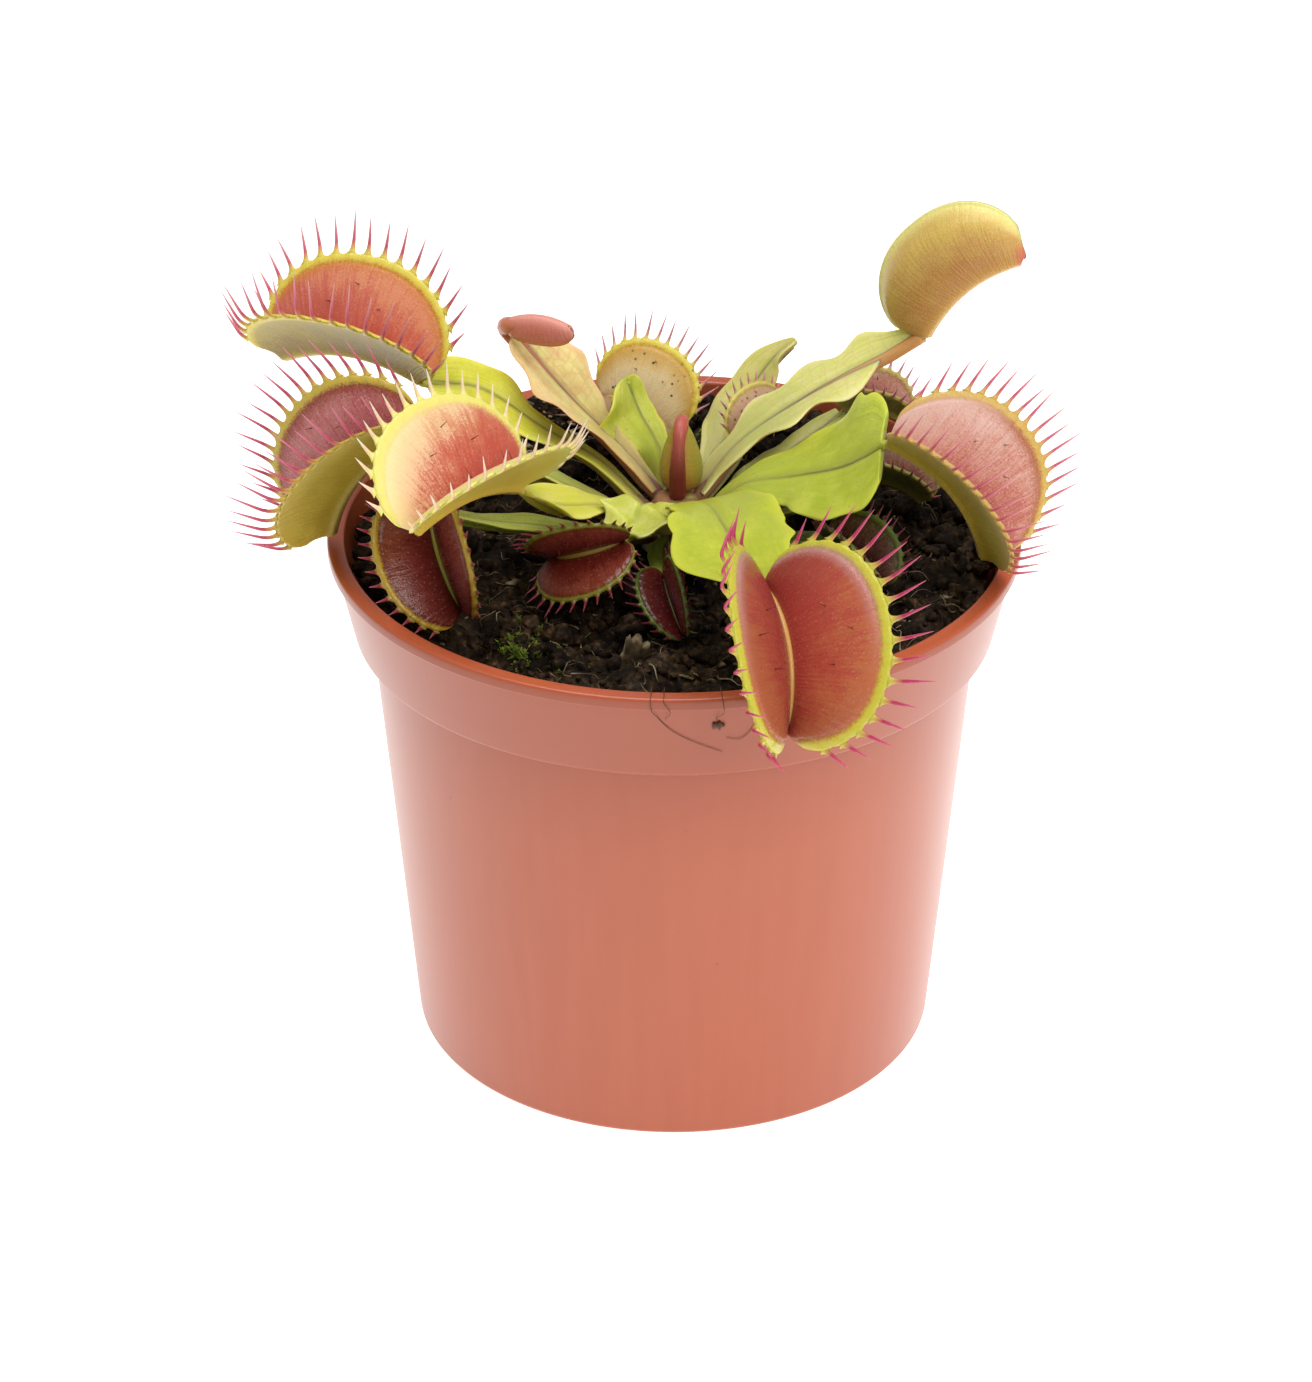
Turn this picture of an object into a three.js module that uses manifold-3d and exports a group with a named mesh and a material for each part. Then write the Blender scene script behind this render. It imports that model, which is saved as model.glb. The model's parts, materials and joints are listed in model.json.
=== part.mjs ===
// A Venus flytrap in a 9 cm nursery pot, in millimetres, +Z up.
// The origin is the middle of the pot's underside, and the plant's best side faces -Y.
// The pot is a thin injection-moulded shell with a deep collar. Moist peat fills it to just below the rim.
// A short rhizome stands in a plain hole in the peat, roots below and the leaves in a rosette round it.
// Each leaf is a flat winged stalk, its blade, that carries one trap: two lobes on a curved hinge, edged
// with teeth.
import * as THREE from 'three';
import { mergeVertices } from 'three/addons/utils/BufferGeometryUtils.js';
import Module from 'manifold-3d';

const wasm = await Module();
wasm.setup();

// Pot
const RIM_RADIUS = 45;
const POT_HEIGHT = 71.5;
const LIP = 2.2;
const LIP_HEIGHT = 1.6;
const COLLAR_HEIGHT = 12.8;
const COLLAR_TOP_RADIUS = 44.3;
const COLLAR_FOOT_RADIUS = 41.8;
const BODY_TOP_RADIUS = 39.6;
const BASE_RADIUS = 34.5;
const WALL = 1.3;
const FLOOR_TOP = 2.9;
const FLOOR_UNDERSIDE = 1.5;
const FOOT_WIDTH = 2.6;
const CENTRE_PAD_RADIUS = 8;
const DRAIN_HOLES = 8;
const DRAIN_RADIUS = 3.2;
const DRAIN_CIRCLE = 21;
const ROUND_SIDES = 44;
const HOLE_SIDES = 10;

// Peat, rhizome and the clearance between touching pieces
const CLEARANCE = 0.3;
const PEAT_LEVEL = 65.8;
const PEAT_RISE_TO_BACK = 2.6;
const PEAT_CLUMPS = 0.8;
const PEAT_RINGS = 6;
const CROWN = { x: 0.3, y: 8 };
const RHIZOME_RADIUS = 5.2;
const RHIZOME_SIDES = 24;
const RHIZOME_FOOT = 46;
const RHIZOME_WAIST = 60;
const RHIZOME_NECK = 66.5;
const ROOT_BUNDLE = [[2.2, 0.6], [3.4, 7]];
const CROWN_TOP = 72.5;
const BASE_GAP = 0.45;

// Where the leaves leave the crown: the old leaves low and wide, the young ones high and close to the middle
const WHORLS = {
  low: { radius: 5, height: 68.4 },
  middle: { radius: 4.1, height: 70.2 },
  high: { radius: 3.2, height: 72.0 },
};

// Leaf blades
const BLADE_THICKNESS = 0.7;
const KEEL_DEPTH = 0.5;
const BASE_HALF_WIDTH = 1.4;
const NECK_HALF_WIDTH = 0.6;
const BLADE_STATIONS = 9;
const BLADE_ROUNDING = 2.4;
const EDGE_WAVE = 0.11;
const EDGE_WAVE_RATE = 11;
const EDGE_WAVE_OFFSET = 2.1;

// Traps
const LOBE_THICKNESS = 0.62;
const HINGE_DEPTH = 0.55;
const LOBE_ROUNDING = 2.4;
const SECTION_STEPS = 16;
const LARGE_DEPTH = 12;
const LARGE_GRID = { ribs: 10, rows: [0, 0.3, 0.6, 0.84] };
const SMALL_GRID = { ribs: 8, rows: [0, 0.45, 0.84] };
const TOOTH_LEAN = 30;
const TOOTH_NECK = 0.45;
const TOOTH_FALL_TO_ENDS = 0.45;
const TOOTH_VARIATION = 0.08;

const rad = THREE.MathUtils.degToRad;
const UP = new THREE.Vector3(0, 0, 1);

const finish = {
  pot: new THREE.MeshStandardMaterial({ color: 0xc8705a, roughness: 0.4, metalness: 0 }),
  peat: new THREE.MeshStandardMaterial({ color: 0x2b231b, roughness: 0.95, metalness: 0 }),
  rhizome: new THREE.MeshStandardMaterial({ color: 0xd8cfa6, roughness: 0.6, metalness: 0 }),
  green: new THREE.MeshStandardMaterial({ color: 0xa9c13c, roughness: 0.45, metalness: 0 }),
  red: new THREE.MeshStandardMaterial({ color: 0xb0483c, roughness: 0.4, metalness: 0 }),
  yellow: new THREE.MeshStandardMaterial({ color: 0xd0b45a, roughness: 0.4, metalness: 0 }),
};

// One entry for each leaf. One with no path is a bud in the crown, and one with no trap is still young.
// whorl and heading: where it leaves the crown, in degrees from +X towards +Y.
// path: the points that the blade passes on its way to the trap.
// halfWidth: half its width at widest, which is a share of the way along.
// roll: how far its upper side turns from facing up, at the crown and at the trap.
// fold: the rise of its wings from the midrib.
// trap.from and trap.to: the ends of the hinge. trap.roll: how far the mouth turns from facing up.
// open: the angle of the right and the left lobe from the mouth's middle, looking along the hinge.
// curl: outwards in an open lobe, and inwards, so negative, in a shut one.
// bow: the rise of the hinge's middle. fan: the spread of the ribs.
const LEAVES = [
  {
    name: 'left_upper', whorl: 'middle', heading: 165, halfWidth: 4.4, widest: 0.76,
    roll: [0, -30], fold: 0.2,
    path: [[-9.7, 11.8, 75.2], [-17, 14.1, 78.7], [-25.5, 15.2, 84]],
    trap: {
      from: [-33, 12, 86.5], to: [-51.5, 19.5, 86.5], roll: -7, depth: 13.3, endDepth: 0.37,
      open: [36, 40], curl: 34, bow: 2.6, fan: 43, teeth: 17, tooth: 5.2, finish: 'red',
    },
  },
  {
    name: 'left_middle', whorl: 'low', heading: 186, halfWidth: 3, widest: 0.6, roll: [0, -15], fold: 0.2,
    path: [[-9.7, 7, 71.8], [-15.5, 6, 75.2], [-23.5, 2, 81.5]],
    trap: {
      from: [-32, -6.5, 88.5], to: [-44.2, -3.8, 72.5], roll: -18, depth: 12.6, endDepth: 0.45,
      open: [36, 41], curl: 34, bow: 2.6, fan: 29, teeth: 17, tooth: 5.5, finish: 'red',
    },
  },
  {
    name: 'left_front', whorl: 'middle', heading: 208, halfWidth: 3.7, widest: 0.55,
    roll: [0, -25], fold: 0.2,
    path: [[-9.6, 1.2, 74], [-15, -4, 76.8]],
    trap: {
      from: [-19.7, -11.6, 83.1], to: [-32.2, -25, 83.9], roll: -5, depth: 13.9, endDepth: 0.3,
      open: [45, 44], curl: 35, bow: 2, fan: 49, teeth: 17, tooth: 4, finish: 'yellow',
    },
  },
  {
    name: 'left_low', whorl: 'low', heading: 222, halfWidth: 2.4, widest: 0.35, roll: [0, 0], fold: 0.15,
    path: [[-9.5, 2, 69.6], [-18, -1.5, 72.5], [-25, -5.5, 75.4]],
    trap: {
      from: [-30.8, -8.2, 78.2], to: [-26.9, -17.4, 68.9], roll: 39, depth: 10, endDepth: 0.46,
      open: [37, 42], curl: 34, bow: 2, fan: 38, teeth: 14, tooth: 2.3, finish: 'red',
    },
  },
  {
    name: 'front_upper', whorl: 'middle', heading: 258, halfWidth: 3, widest: 0.55, roll: [0, 0], fold: 0.15,
    path: [[-3.9, -2, 73.6]],
    trap: {
      from: [-6.7, -9.6, 74.7], to: [-15, -7.6, 71.5], roll: -80, depth: 8.5, endDepth: 0.3,
      open: [39, 32], curl: 34, bow: 1.5, fan: 50, teeth: 14, tooth: 2.4, finish: 'red',
    },
  },
  {
    name: 'front_lower', whorl: 'low', heading: 262, halfWidth: 2, widest: 0.5, roll: [0, 0], fold: 0.15,
    path: [[-1.4, -3, 69.8]],
    trap: {
      from: [-1.2, -11.4, 70.4], to: [1.2, -21.7, 67.4], roll: 30, depth: 5, endDepth: 0.4,
      open: [40, 40], curl: 34, bow: 1, fan: 40, teeth: 11, tooth: 2, finish: 'red',
    },
  },
  {
    name: 'front_right', whorl: 'high', heading: 288, halfWidth: 7.8, widest: 0.46, roll: [0, 0], fold: 0.12,
    path: [[4, -4, 77], [6.8, -20, 81]],
    trap: {
      from: [10.8, -33.5, 80.9], to: [13.4, -46, 67.7], roll: -16, depth: 15.3, endDepth: 0.31,
      open: [52, 32], curl: 36, bow: 3.6, fan: 47, teeth: 17, tooth: 5.5, finish: 'red',
    },
  },
  {
    name: 'right_middle', whorl: 'middle', heading: 340, halfWidth: 8.6, widest: 0.84,
    roll: [5, 46], fold: 0,
    path: [[9, 6, 74.6], [16, 2.4, 77.8], [22, -2.8, 82]],
    trap: {
      from: [26.9, -6.7, 87.1], to: [39.6, -10.1, 72.3], roll: 7, depth: 13.1, endDepth: 0.44,
      open: [47, 45], curl: 34, bow: 2.9, fan: 22, teeth: 17, tooth: 5.2, finish: 'red',
    },
  },
  {
    name: 'right_upper', whorl: 'high', heading: 22, halfWidth: 3.7, widest: 0.56, roll: [0, 30], fold: 0.15,
    path: [[8, 12.3, 77], [17, 14, 83.2]],
    trap: {
      from: [32.5, 15.6, 91.5], to: [44.7, 12.6, 104.1], roll: -11, depth: 13, endDepth: 0.39,
      open: [3, 3], curl: -125, bow: 1.8, fan: 31, teeth: 0, tooth: 0, finish: 'yellow',
    },
  },
  {
    name: 'back_left', whorl: 'high', heading: 140, halfWidth: 3.8, widest: 0.55, roll: [0, -10], fold: 0.6,
    path: [[-6, 12, 76], [-14.2, 17.8, 82], [-21.9, 22.8, 89.6]],
    trap: {
      from: [-21.2, 19.2, 92], to: [-12.6, 16.4, 92.4], roll: 172, depth: 3.6, endDepth: 0.4,
      open: [4, 4], curl: -125, bow: 0.3, fan: 30, teeth: 0, tooth: 0, finish: 'red',
    },
  },
  {
    name: 'back_middle', whorl: 'low', heading: 96, halfWidth: 1.6, widest: 0.5, roll: [0, 0], fold: 0.15,
    path: [[1.8, 19.4, 69.2], [0.7, 23, 70.1]],
    trap: {
      from: [-0.8, 25.8, 72.6], to: [-9.5, 29.9, 75.2], roll: -8, depth: 9.4, endDepth: 0.38,
      open: [42, 82], curl: 34, bow: 1.5, fan: 42, teeth: 15, tooth: 3.4, finish: 'yellow',
    },
  },
  {
    name: 'back_right', whorl: 'middle', heading: 52, halfWidth: 2, widest: 0.5, roll: [0, 0], fold: 0.2,
    path: [[5, 14.6, 71.4]],
    trap: {
      from: [8.4, 20.4, 74.2], to: [14.2, 26, 75.6], roll: 0, depth: 4.8, endDepth: 0.38,
      open: [62, 28], curl: 34, bow: 0.8, fan: 41, teeth: 11, tooth: 1.6, finish: 'red',
    },
  },
  {
    name: 'right_low', whorl: 'low', heading: 312, halfWidth: 2.4, widest: 0.6, roll: [0, 0], fold: 0.15,
    path: [[8, 1.6, 69.1], [14.6, -0.6, 69.8]],
    trap: {
      from: [20, -3.4, 71.2], to: [26.4, -10.4, 68.6], roll: 0, depth: 6, endDepth: 0.4,
      open: [40, 40], curl: 34, bow: 1, fan: 40, teeth: 13, tooth: 1.7, finish: 'red',
    },
  },
  {
    name: 'right_back', whorl: 'low', heading: 347, halfWidth: 2.8, widest: 0.45, roll: [0, 0], fold: 0.15,
    path: [[11.3, 7.2, 69.8], [19, 9.6, 70.8]],
    trap: {
      from: [26, 11.5, 72.6], to: [32.5, 9.5, 70.4], roll: 0, depth: 5.6, endDepth: 0.4,
      open: [40, 40], curl: 34, bow: 0.8, fan: 40, teeth: 11, tooth: 2.2, finish: 'red',
    },
  },
  {
    name: 'right_far', whorl: 'low', heading: 22, halfWidth: 2.4, widest: 0.5, roll: [0, 0], fold: 0.15,
    path: [[10, 15, 70.6], [17.5, 20, 74]],
    trap: {
      from: [23, 23.5, 76.6], to: [30, 22.5, 76], roll: 0, depth: 6, endDepth: 0.4,
      open: [40, 40], curl: 34, bow: 0.8, fan: 40, teeth: 11, tooth: 2.4, finish: 'red',
    },
  },
  {
    name: 'young_left', whorl: 'middle', heading: 110, halfWidth: 3.5, widest: 0.7, roll: [0, 0], fold: 0.15,
    path: [[-1.8, 15.4, 74.4], [-4.7, 18.9, 79], [-6.4, 20.2, 83.2]],
  },
  {
    name: 'young_right', whorl: 'low', heading: 58, halfWidth: 2.8, widest: 0.6, roll: [0, 0], fold: 0.15,
    path: [[6.2, 20, 71], [9.8, 28.8, 75.8], [13.2, 31.6, 80], [16.4, 31.5, 83]],
  },
  {
    name: 'centre_bud',
    trap: {
      from: [0.5, 7.3, 73.2], to: [0.9, 9.8, 82], roll: 180, depth: 6.4, endDepth: 0.25,
      open: [22, 22], curl: -110, bow: -1, fan: 10, teeth: 0, tooth: 0, finish: 'red',
    },
  },
];

const crownPoint = (leaf) => {
  const { radius, height } = WHORLS[leaf.whorl];
  const turn = rad(leaf.heading);
  return new THREE.Vector3(CROWN.x + radius * Math.cos(turn), CROWN.y + radius * Math.sin(turn), height);
};

// Turns a list of corner points and triangles into a mesh.
function piece(name, material, points, triangles) {
  const geometry = new THREE.BufferGeometry();
  geometry.setAttribute('position', new THREE.Float32BufferAttribute(points.flatMap((p) => p.toArray()), 3));
  geometry.setIndex(triangles.flat());
  geometry.computeVertexNormals();
  const mesh = new THREE.Mesh(geometry, material);
  mesh.name = name;
  return mesh;
}

// Welds a geometry's shared corners and drops the triangles that this leaves without area.
function solidFrom(geometry) {
  const bare = geometry.clone();
  bare.deleteAttribute('normal');
  bare.deleteAttribute('uv');
  const welded = mergeVertices(bare, 1e-4);
  const index = welded.index.array;
  const kept = [];
  for (let i = 0; i < index.length; i += 3) {
    const [a, b, c] = index.slice(i, i + 3);
    if (a !== b && b !== c && c !== a) kept.push(a, b, c);
  }
  return new wasm.Manifold(new wasm.Mesh({
    numProp: 3,
    vertProperties: Float32Array.from(welded.attributes.position.array),
    triVerts: Uint32Array.from(kept),
  }));
}

function meshFrom(solid, name, material) {
  const { vertProperties, triVerts } = solid.getMesh();
  const geometry = new THREE.BufferGeometry();
  geometry.setAttribute('position', new THREE.BufferAttribute(vertProperties, 3));
  geometry.setIndex(new THREE.BufferAttribute(triVerts, 1));
  geometry.computeVertexNormals();
  const mesh = new THREE.Mesh(geometry, material);
  mesh.name = name;
  return mesh;
}

// A turned solid about the Z axis, from [radius, height] points that go round its half section.
function turned(profile, sides) {
  const points = profile.map(([radius, height]) => new THREE.Vector2(radius, height));
  return new THREE.LatheGeometry(points, sides).rotateX(Math.PI / 2);
}

function uprightCylinder(radius, low, high, x, y, sides) {
  return new THREE.CylinderGeometry(radius, radius, high - low, sides)
    .rotateX(Math.PI / 2).translate(x, y, (low + high) / 2);
}

const collarFoot = POT_HEIGHT - COLLAR_HEIGHT;
const bodyRadiusAt = (z) => THREE.MathUtils.mapLinear(z, 0, collarFoot, BASE_RADIUS, BODY_TOP_RADIUS);
const collarBoreAt = (z) => THREE.MathUtils.mapLinear(
  z, collarFoot + WALL, POT_HEIGHT, COLLAR_FOOT_RADIUS - WALL, RIM_RADIUS - LIP,
);

function pot() {
  const shell = solidFrom(turned([
    [0, 0], [CENTRE_PAD_RADIUS, 0], [CENTRE_PAD_RADIUS, FLOOR_UNDERSIDE],
    [BASE_RADIUS - FOOT_WIDTH, FLOOR_UNDERSIDE], [BASE_RADIUS - FOOT_WIDTH, 0], [BASE_RADIUS, 0],
    [BODY_TOP_RADIUS, collarFoot], [COLLAR_FOOT_RADIUS, collarFoot],
    [COLLAR_TOP_RADIUS, POT_HEIGHT - LIP_HEIGHT], [RIM_RADIUS, POT_HEIGHT - LIP_HEIGHT],
    [RIM_RADIUS, POT_HEIGHT], [RIM_RADIUS - LIP, POT_HEIGHT], [COLLAR_FOOT_RADIUS - WALL, collarFoot + WALL],
    [BODY_TOP_RADIUS - WALL, collarFoot - WALL], [bodyRadiusAt(FLOOR_TOP) - WALL, FLOOR_TOP], [0, FLOOR_TOP],
  ], ROUND_SIDES));
  let drained = shell;
  for (let i = 0; i < DRAIN_HOLES; i++) {
    const turn = (2 * Math.PI * (i + 0.5)) / DRAIN_HOLES;
    const [x, y] = [DRAIN_CIRCLE * Math.cos(turn), DRAIN_CIRCLE * Math.sin(turn)];
    const drill = uprightCylinder(DRAIN_RADIUS, -1, FLOOR_TOP + 1, x, y, HOLE_SIDES);
    drained = drained.subtract(solidFrom(drill));
  }
  return meshFrom(drained, 'pot', finish.pot);
}

// The peat's uneven top: clumps on a surface that rises to the back of the pot.
function peatHeight(x, y) {
  const clumps = Math.sin(0.31 * x + 1.3) * Math.cos(0.27 * y - 0.4)
    + 0.6 * Math.sin(0.55 * x - 0.48 * y + 2) + 0.4 * Math.cos(0.9 * x + 0.7 * y);
  return PEAT_LEVEL + PEAT_RISE_TO_BACK * THREE.MathUtils.smoothstep(y, -5, 35) + PEAT_CLUMPS * clumps;
}

function peat() {
  const floorRadius = bodyRadiusAt(FLOOR_TOP) - WALL - CLEARANCE;
  const walls = [
    [floorRadius - CLEARANCE, FLOOR_TOP + CLEARANCE],
    [BODY_TOP_RADIUS - WALL - CLEARANCE, collarFoot - WALL],
    [COLLAR_FOOT_RADIUS - WALL - CLEARANCE, collarFoot + WALL + CLEARANCE],
  ];
  const topRadius = collarBoreAt(PEAT_LEVEL - 2 * PEAT_CLUMPS) - CLEARANCE;
  const points = [new THREE.Vector3(0, 0, FLOOR_TOP + CLEARANCE)];
  const rings = walls.map(([radius, height]) => [radius, () => height]);
  for (let i = PEAT_RINGS; i > 0; i--) rings.push([(topRadius * i) / PEAT_RINGS, peatHeight]);
  for (const [radius, height] of rings) {
    for (let k = 0; k < ROUND_SIDES; k++) {
      const turn = (2 * Math.PI * k) / ROUND_SIDES;
      const [x, y] = [radius * Math.cos(turn), radius * Math.sin(turn)];
      points.push(new THREE.Vector3(x, y, height(x, y)));
    }
  }
  const top = points.push(new THREE.Vector3(0, 0, peatHeight(0, 0))) - 1;
  const at = (ring, k) => 1 + ring * ROUND_SIDES + (k % ROUND_SIDES);
  const triangles = [];
  for (let k = 0; k < ROUND_SIDES; k++) {
    triangles.push([0, at(0, k + 1), at(0, k)]);
    for (let ring = 0; ring + 1 < rings.length; ring++) {
      triangles.push([at(ring, k), at(ring, k + 1), at(ring + 1, k + 1)]);
      triangles.push([at(ring, k), at(ring + 1, k + 1), at(ring + 1, k)]);
    }
    triangles.push([top, at(rings.length - 1, k), at(rings.length - 1, k + 1)]);
  }
  const body = solidFrom(piece('', finish.peat, points, triangles).geometry);
  const [holeRadius, holeFoot] = [RHIZOME_RADIUS + CLEARANCE, RHIZOME_FOOT - CLEARANCE];
  const hole = uprightCylinder(holeRadius, holeFoot, POT_HEIGHT, CROWN.x, CROWN.y, RHIZOME_SIDES);
  return meshFrom(body.subtract(solidFrom(hole)), 'peat', finish.peat);
}

// The rootstock: a scaly bulb, its roots bundled below, and a crown that narrows past each whorl of leaves.
function rhizome() {
  const shoulders = Object.values(WHORLS).map(({ radius, height }) => [radius - BASE_GAP, height]);
  const profile = [
    [0, RHIZOME_FOOT], ...ROOT_BUNDLE.map(([radius, rise]) => [radius, RHIZOME_FOOT + rise]),
    [RHIZOME_RADIUS, RHIZOME_WAIST], [RHIZOME_RADIUS, RHIZOME_NECK], ...shoulders, [0, CROWN_TOP],
  ];
  const body = solidFrom(turned(profile, RHIZOME_SIDES).translate(CROWN.x, CROWN.y, 0));
  return meshFrom(body, 'rhizome', finish.rhizome);
}

// The half-width of a blade, a share s of the way from the crown to the trap.
function bladeHalfWidth(leaf, s) {
  if (s < leaf.widest) {
    const grown = THREE.MathUtils.smoothstep(s, 0, leaf.widest);
    return THREE.MathUtils.lerp(BASE_HALF_WIDTH, leaf.halfWidth, grown);
  }
  const past = (s - leaf.widest) / (1 - leaf.widest);
  const kept = Math.sqrt(Math.max(0, 1 - past ** BLADE_ROUNDING));
  return THREE.MathUtils.lerp(NECK_HALF_WIDTH, leaf.halfWidth, kept);
}

// A blade: a thin sheet on a curved midrib, with its two wings folded up and waved towards their edges.
function blade(leaf) {
  const ending = leaf.trap ? [leaf.trap.from] : [];
  const places = [...leaf.path, ...ending].map((p) => new THREE.Vector3(...p));
  const midrib = new THREE.CatmullRomCurve3([crownPoint(leaf), ...places]);
  const length = midrib.getLength();
  const across = [-1, -0.5, 0, 0.5, 1];
  const upper = [];
  const lower = [];
  const end = leaf.trap ? 1 - (CLEARANCE + HINGE_DEPTH) / length : 1;
  for (let i = 0; i <= BLADE_STATIONS; i++) {
    const s = (i / BLADE_STATIONS) * end;
    const centre = midrib.getPointAt(s);
    const along = midrib.getTangentAt(s);
    const facing = UP.clone().addScaledVector(along, -UP.dot(along)).normalize();
    facing.applyAxisAngle(along, rad(THREE.MathUtils.lerp(...leaf.roll, s)));
    const side = along.clone().cross(facing);
    const half = bladeHalfWidth(leaf, s);
    for (const x of across) {
      const wave = EDGE_WAVE * half * x * x * Math.sin(EDGE_WAVE_RATE * s + EDGE_WAVE_OFFSET * Math.sign(x));
      const rise = leaf.fold * half * Math.abs(x) * Math.min(1, s * 4) + wave;
      const point = centre.clone().addScaledVector(side, x * half).addScaledVector(facing, rise);
      const under = x === 0 ? BLADE_THICKNESS / 2 + KEEL_DEPTH * (1 - 0.6 * s) : BLADE_THICKNESS / 2;
      upper.push(point.clone().addScaledVector(facing, BLADE_THICKNESS / 2));
      lower.push(point.clone().addScaledVector(facing, -under));
    }
  }
  const rows = across.length;
  const count = upper.length;
  const triangles = [];
  const at = (i, j) => i * rows + j;
  for (let i = 0; i < BLADE_STATIONS; i++) {
    for (let j = 0; j + 1 < rows; j++) {
      const [a, b, c, d] = [at(i, j), at(i, j + 1), at(i + 1, j + 1), at(i + 1, j)];
      triangles.push([a, b, c], [a, c, d]);
      triangles.push([count + a, count + c, count + b], [count + a, count + d, count + c]);
    }
    for (const [j, flip] of [[0, false], [rows - 1, true]]) {
      const [a, b] = flip ? [at(i + 1, j), at(i, j)] : [at(i, j), at(i + 1, j)];
      triangles.push([a, b, count + b], [a, count + b, count + a]);
    }
  }
  for (let j = 0; j + 1 < rows; j++) {
    for (const [i, flip] of [[0, true], [BLADE_STATIONS, false]]) {
      const [a, b] = flip ? [at(i, j + 1), at(i, j)] : [at(i, j), at(i, j + 1)];
      triangles.push([a, b, count + b], [a, count + b, count + a]);
    }
  }
  return piece(`leaf_${leaf.name}_blade`, finish.green, [...upper, ...lower], triangles);
}

// A lobe's section from the hinge to the place v, in shares of its depth: [sideways, to the mouth, lean].
function lobeSection(v, open, curl) {
  let side = 0;
  let rise = 0;
  for (let i = 0; i < SECTION_STEPS; i++) {
    const lean = rad(open + curl * ((v * (i + 0.5)) / SECTION_STEPS - 0.5));
    side += (Math.sin(lean) * v) / SECTION_STEPS;
    rise += (Math.cos(lean) * v) / SECTION_STEPS;
  }
  return [side, rise, rad(open + curl * (v - 0.5))];
}

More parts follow.
